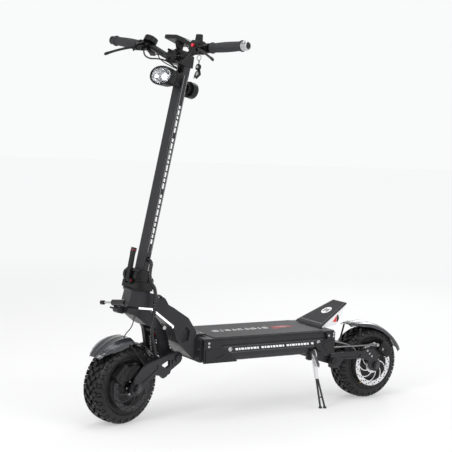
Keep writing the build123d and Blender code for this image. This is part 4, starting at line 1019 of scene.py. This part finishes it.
lead = hose_piece(
    "rear_motor_lead", [(-290, 58, 223), (-330, 60, 220), (-384, 66, 222), (-440, 73, 222), (-520, 74, 222),
                        (-551, 74, 215)], STRAIGHT, 3.0, GREY_HOSE, None)
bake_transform(lead)


# ---- bright fixings
OUT = (0, 1, 0)
screws("gooseneck_bolts", [((411, 60.2, 339), OUT), ((411, -60.2, 339), (0, -1, 0))], STRAIGHT, STEEL,
       "frame", radius=6.5, height=1.4)
screws("rear_caliper_fittings",
       [((-544, 82.2, 221), OUT, 6.0, 3.6), ((-525, 82.2, 230), (0.1, 1, 0.1), 4.0, 3.4),
        ((-571, 82.2, 202), OUT, 4.2, 3.0)], STRAIGHT, STEEL, "rear_arm")
screws("kickstand_bolts", [((-206, 121.1, 221), OUT, 6.5, 2.6), ((-222, 124.5, 168), OUT, 3.2, 7.6)],
       STRAIGHT, STEEL, "kickstand")
screws("rear_arm_bolts", [((-495, 80.2, 201), OUT), ((-506, 80.2, 189), OUT), ((-518, 80.2, 178), OUT)],
       STRAIGHT, STEEL, "rear_arm", radius=4.2, height=3.0)


# ---- front leads, kickstand spring, display glass
lead = hose_piece(
    "front_mudguard_lead", [(508, 12, 379), (511, 12, 352), (524, 12, 332), (542, 12, 320), (552, 12, 306)],
    STEERED, 1.8, HOSE, None, gap=0.002)
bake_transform(lead)
hose_piece("front_motor_lead",
           [(518, 90, 214), (536, 94, 204), (556, 96, 186), (564, 92, 168), (556, 88, 158)],
           STEERED, 3.4, HOSE, "front_arm")

COILS, STEPS, HOOK = 17, 220, 12
wound = []
for k in range(STEPS + 1):
    f = k / STEPS
    t = 2 * pi * COILS * k / STEPS
    wide = 4.6 if HOOK < k < STEPS - HOOK else 0.4
    wound.append(STRAIGHT @ Vector((-190 - 32 * f + wide * 0.9 * cos(t), 130.8 + wide * sin(t),
                                    232 - 64 * f - wide * 0.44 * cos(t))))
coil = piece("kickstand_spring", tube(wound, radius=0.0011, sides=6), UNIT, SPRING, None, sharp=60)
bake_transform(coil)
post = lathe([(0, 0.01), (0, 2.0), (25.4, 2.0), (26.4, 1.2), (26.4, 0.01)], 16)
piece("kickstand_spring_post", moved(post, aim((-190, 106.6, 232), OUT)), STRAIGHT, BLACK, "frame")

glass = [(12, -24), (84, -24), (88, -20), (88, 20), (84, 24), (12, 24), (8, 20), (8, -20)]
thin_sheets("display_glass", [glass], on_top(DISPLAY_TOP), 0.5, COCKPIT, SCREEN, "stem")


# ---- floor, light and camera, in metres
floor_mesh = bpy.data.meshes.new("floor")
floor_mesh.from_pydata([(-30, -30, 0), (30, -30, 0), (30, 30, 0), (-30, 30, 0)], [], [(0, 1, 2, 3)])
floor = new_object("floor", floor_mesh)
PAPER, tree, shader = blank("studio_paper")
reach = tree.nodes.new("ShaderNodeVectorMath")
reach.operation = "LENGTH"
tree.links.new(add(tree, "TexCoord").outputs["Object"], reach.inputs[0])
fade = add(tree, "MapRange", Value=reach.outputs["Value"], From_Min=1.2, From_Max=5.0)
fade.interpolation_type = "SMOOTHSTEP"
fade = fade.outputs["Result"]
put(tree, shader, Base_Color=ramp(tree, fade, (0.0, (0.52, 0.52, 0.523)), (1.0, (0.01, 0.01, 0.01))),
    Emission_Color=ramp(tree, fade, (0.0, (0.40, 0.40, 0.402)), (1.0, (0.925, 0.93, 0.935))),
    Emission_Strength=1.0, Roughness=0.9, Specular_IOR_Level=0.0)
floor_mesh.materials.append(PAPER)


def softbox(name, place, target, size, power):
    lamp_data = bpy.data.lights.new(name, "AREA")
    lamp_data.shape = "RECTANGLE"
    lamp_data.size, lamp_data.size_y = size
    lamp_data.energy = power
    holder = new_object(name, lamp_data)
    holder.location = place
    holder.rotation_mode = "QUATERNION"
    holder.rotation_quaternion = (Vector(target) - Vector(place)).to_track_quat("-Z", "Y")


softbox("key_light", (3.2, 1.4, 2.4), (0.2, 0, 0.5), (0.8, 2.2), 56)
softbox("side_light", (-1.4, 3.6, 2.2), (-0.2, 0, 0.4), (1.8, 0.9), 34)
softbox("top_light", (0.2, 0.4, 3.8), (0, 0, 0.4), (2.8, 1.8), 42)
softbox("rim_light", (-3.0, -2.4, 2.4), (0, 0, 0.6), (1.0, 2.0), 40)
sky = bpy.data.worlds.new("studio")
sky.use_nodes = True
tree = sky.node_tree
ball = add(tree, "SeparateXYZ", Vector=add(tree, "TexCoord").outputs["Generated"])
dome = add(tree, "MapRange", Value=ball.outputs["Z"], From_Min=0.22, From_Max=0.75, To_Min=0.96, To_Max=0.50)
dome.interpolation_type = "SMOOTHSTEP"
put(tree, tree.nodes["Background"], Strength=dome.outputs["Result"], Color=(0.99, 0.995, 1.0, 1))
bpy.context.scene.world = sky
bpy.context.scene.view_settings.view_transform = "Standard"

# the camera looks from the front left, its picture turned a little
TURNED, LIFT, ROLL = radians(32.3), radians(4.8), radians(2.7)
back = Vector((sin(TURNED) * cos(LIFT), cos(TURNED) * cos(LIFT), sin(LIFT)))
right = (-back).cross(Vector((0, 0, 1))).normalized()
up = right.cross(-back)
right, up = right * cos(ROLL) + up * sin(ROLL), up * cos(ROLL) - right * sin(ROLL)
camera_data = bpy.data.cameras.new("camera")
camera_data.lens, camera_data.sensor_width = 86.2, 36
camera = new_object("camera", camera_data)
camera.matrix_world = (Matrix.Translation(ROW @ (Vector((2239.8, 3323.8, 1019.3)) * MM))
                       @ Matrix((right, up, back)).transposed().to_4x4())
bpy.context.scene.camera = camera
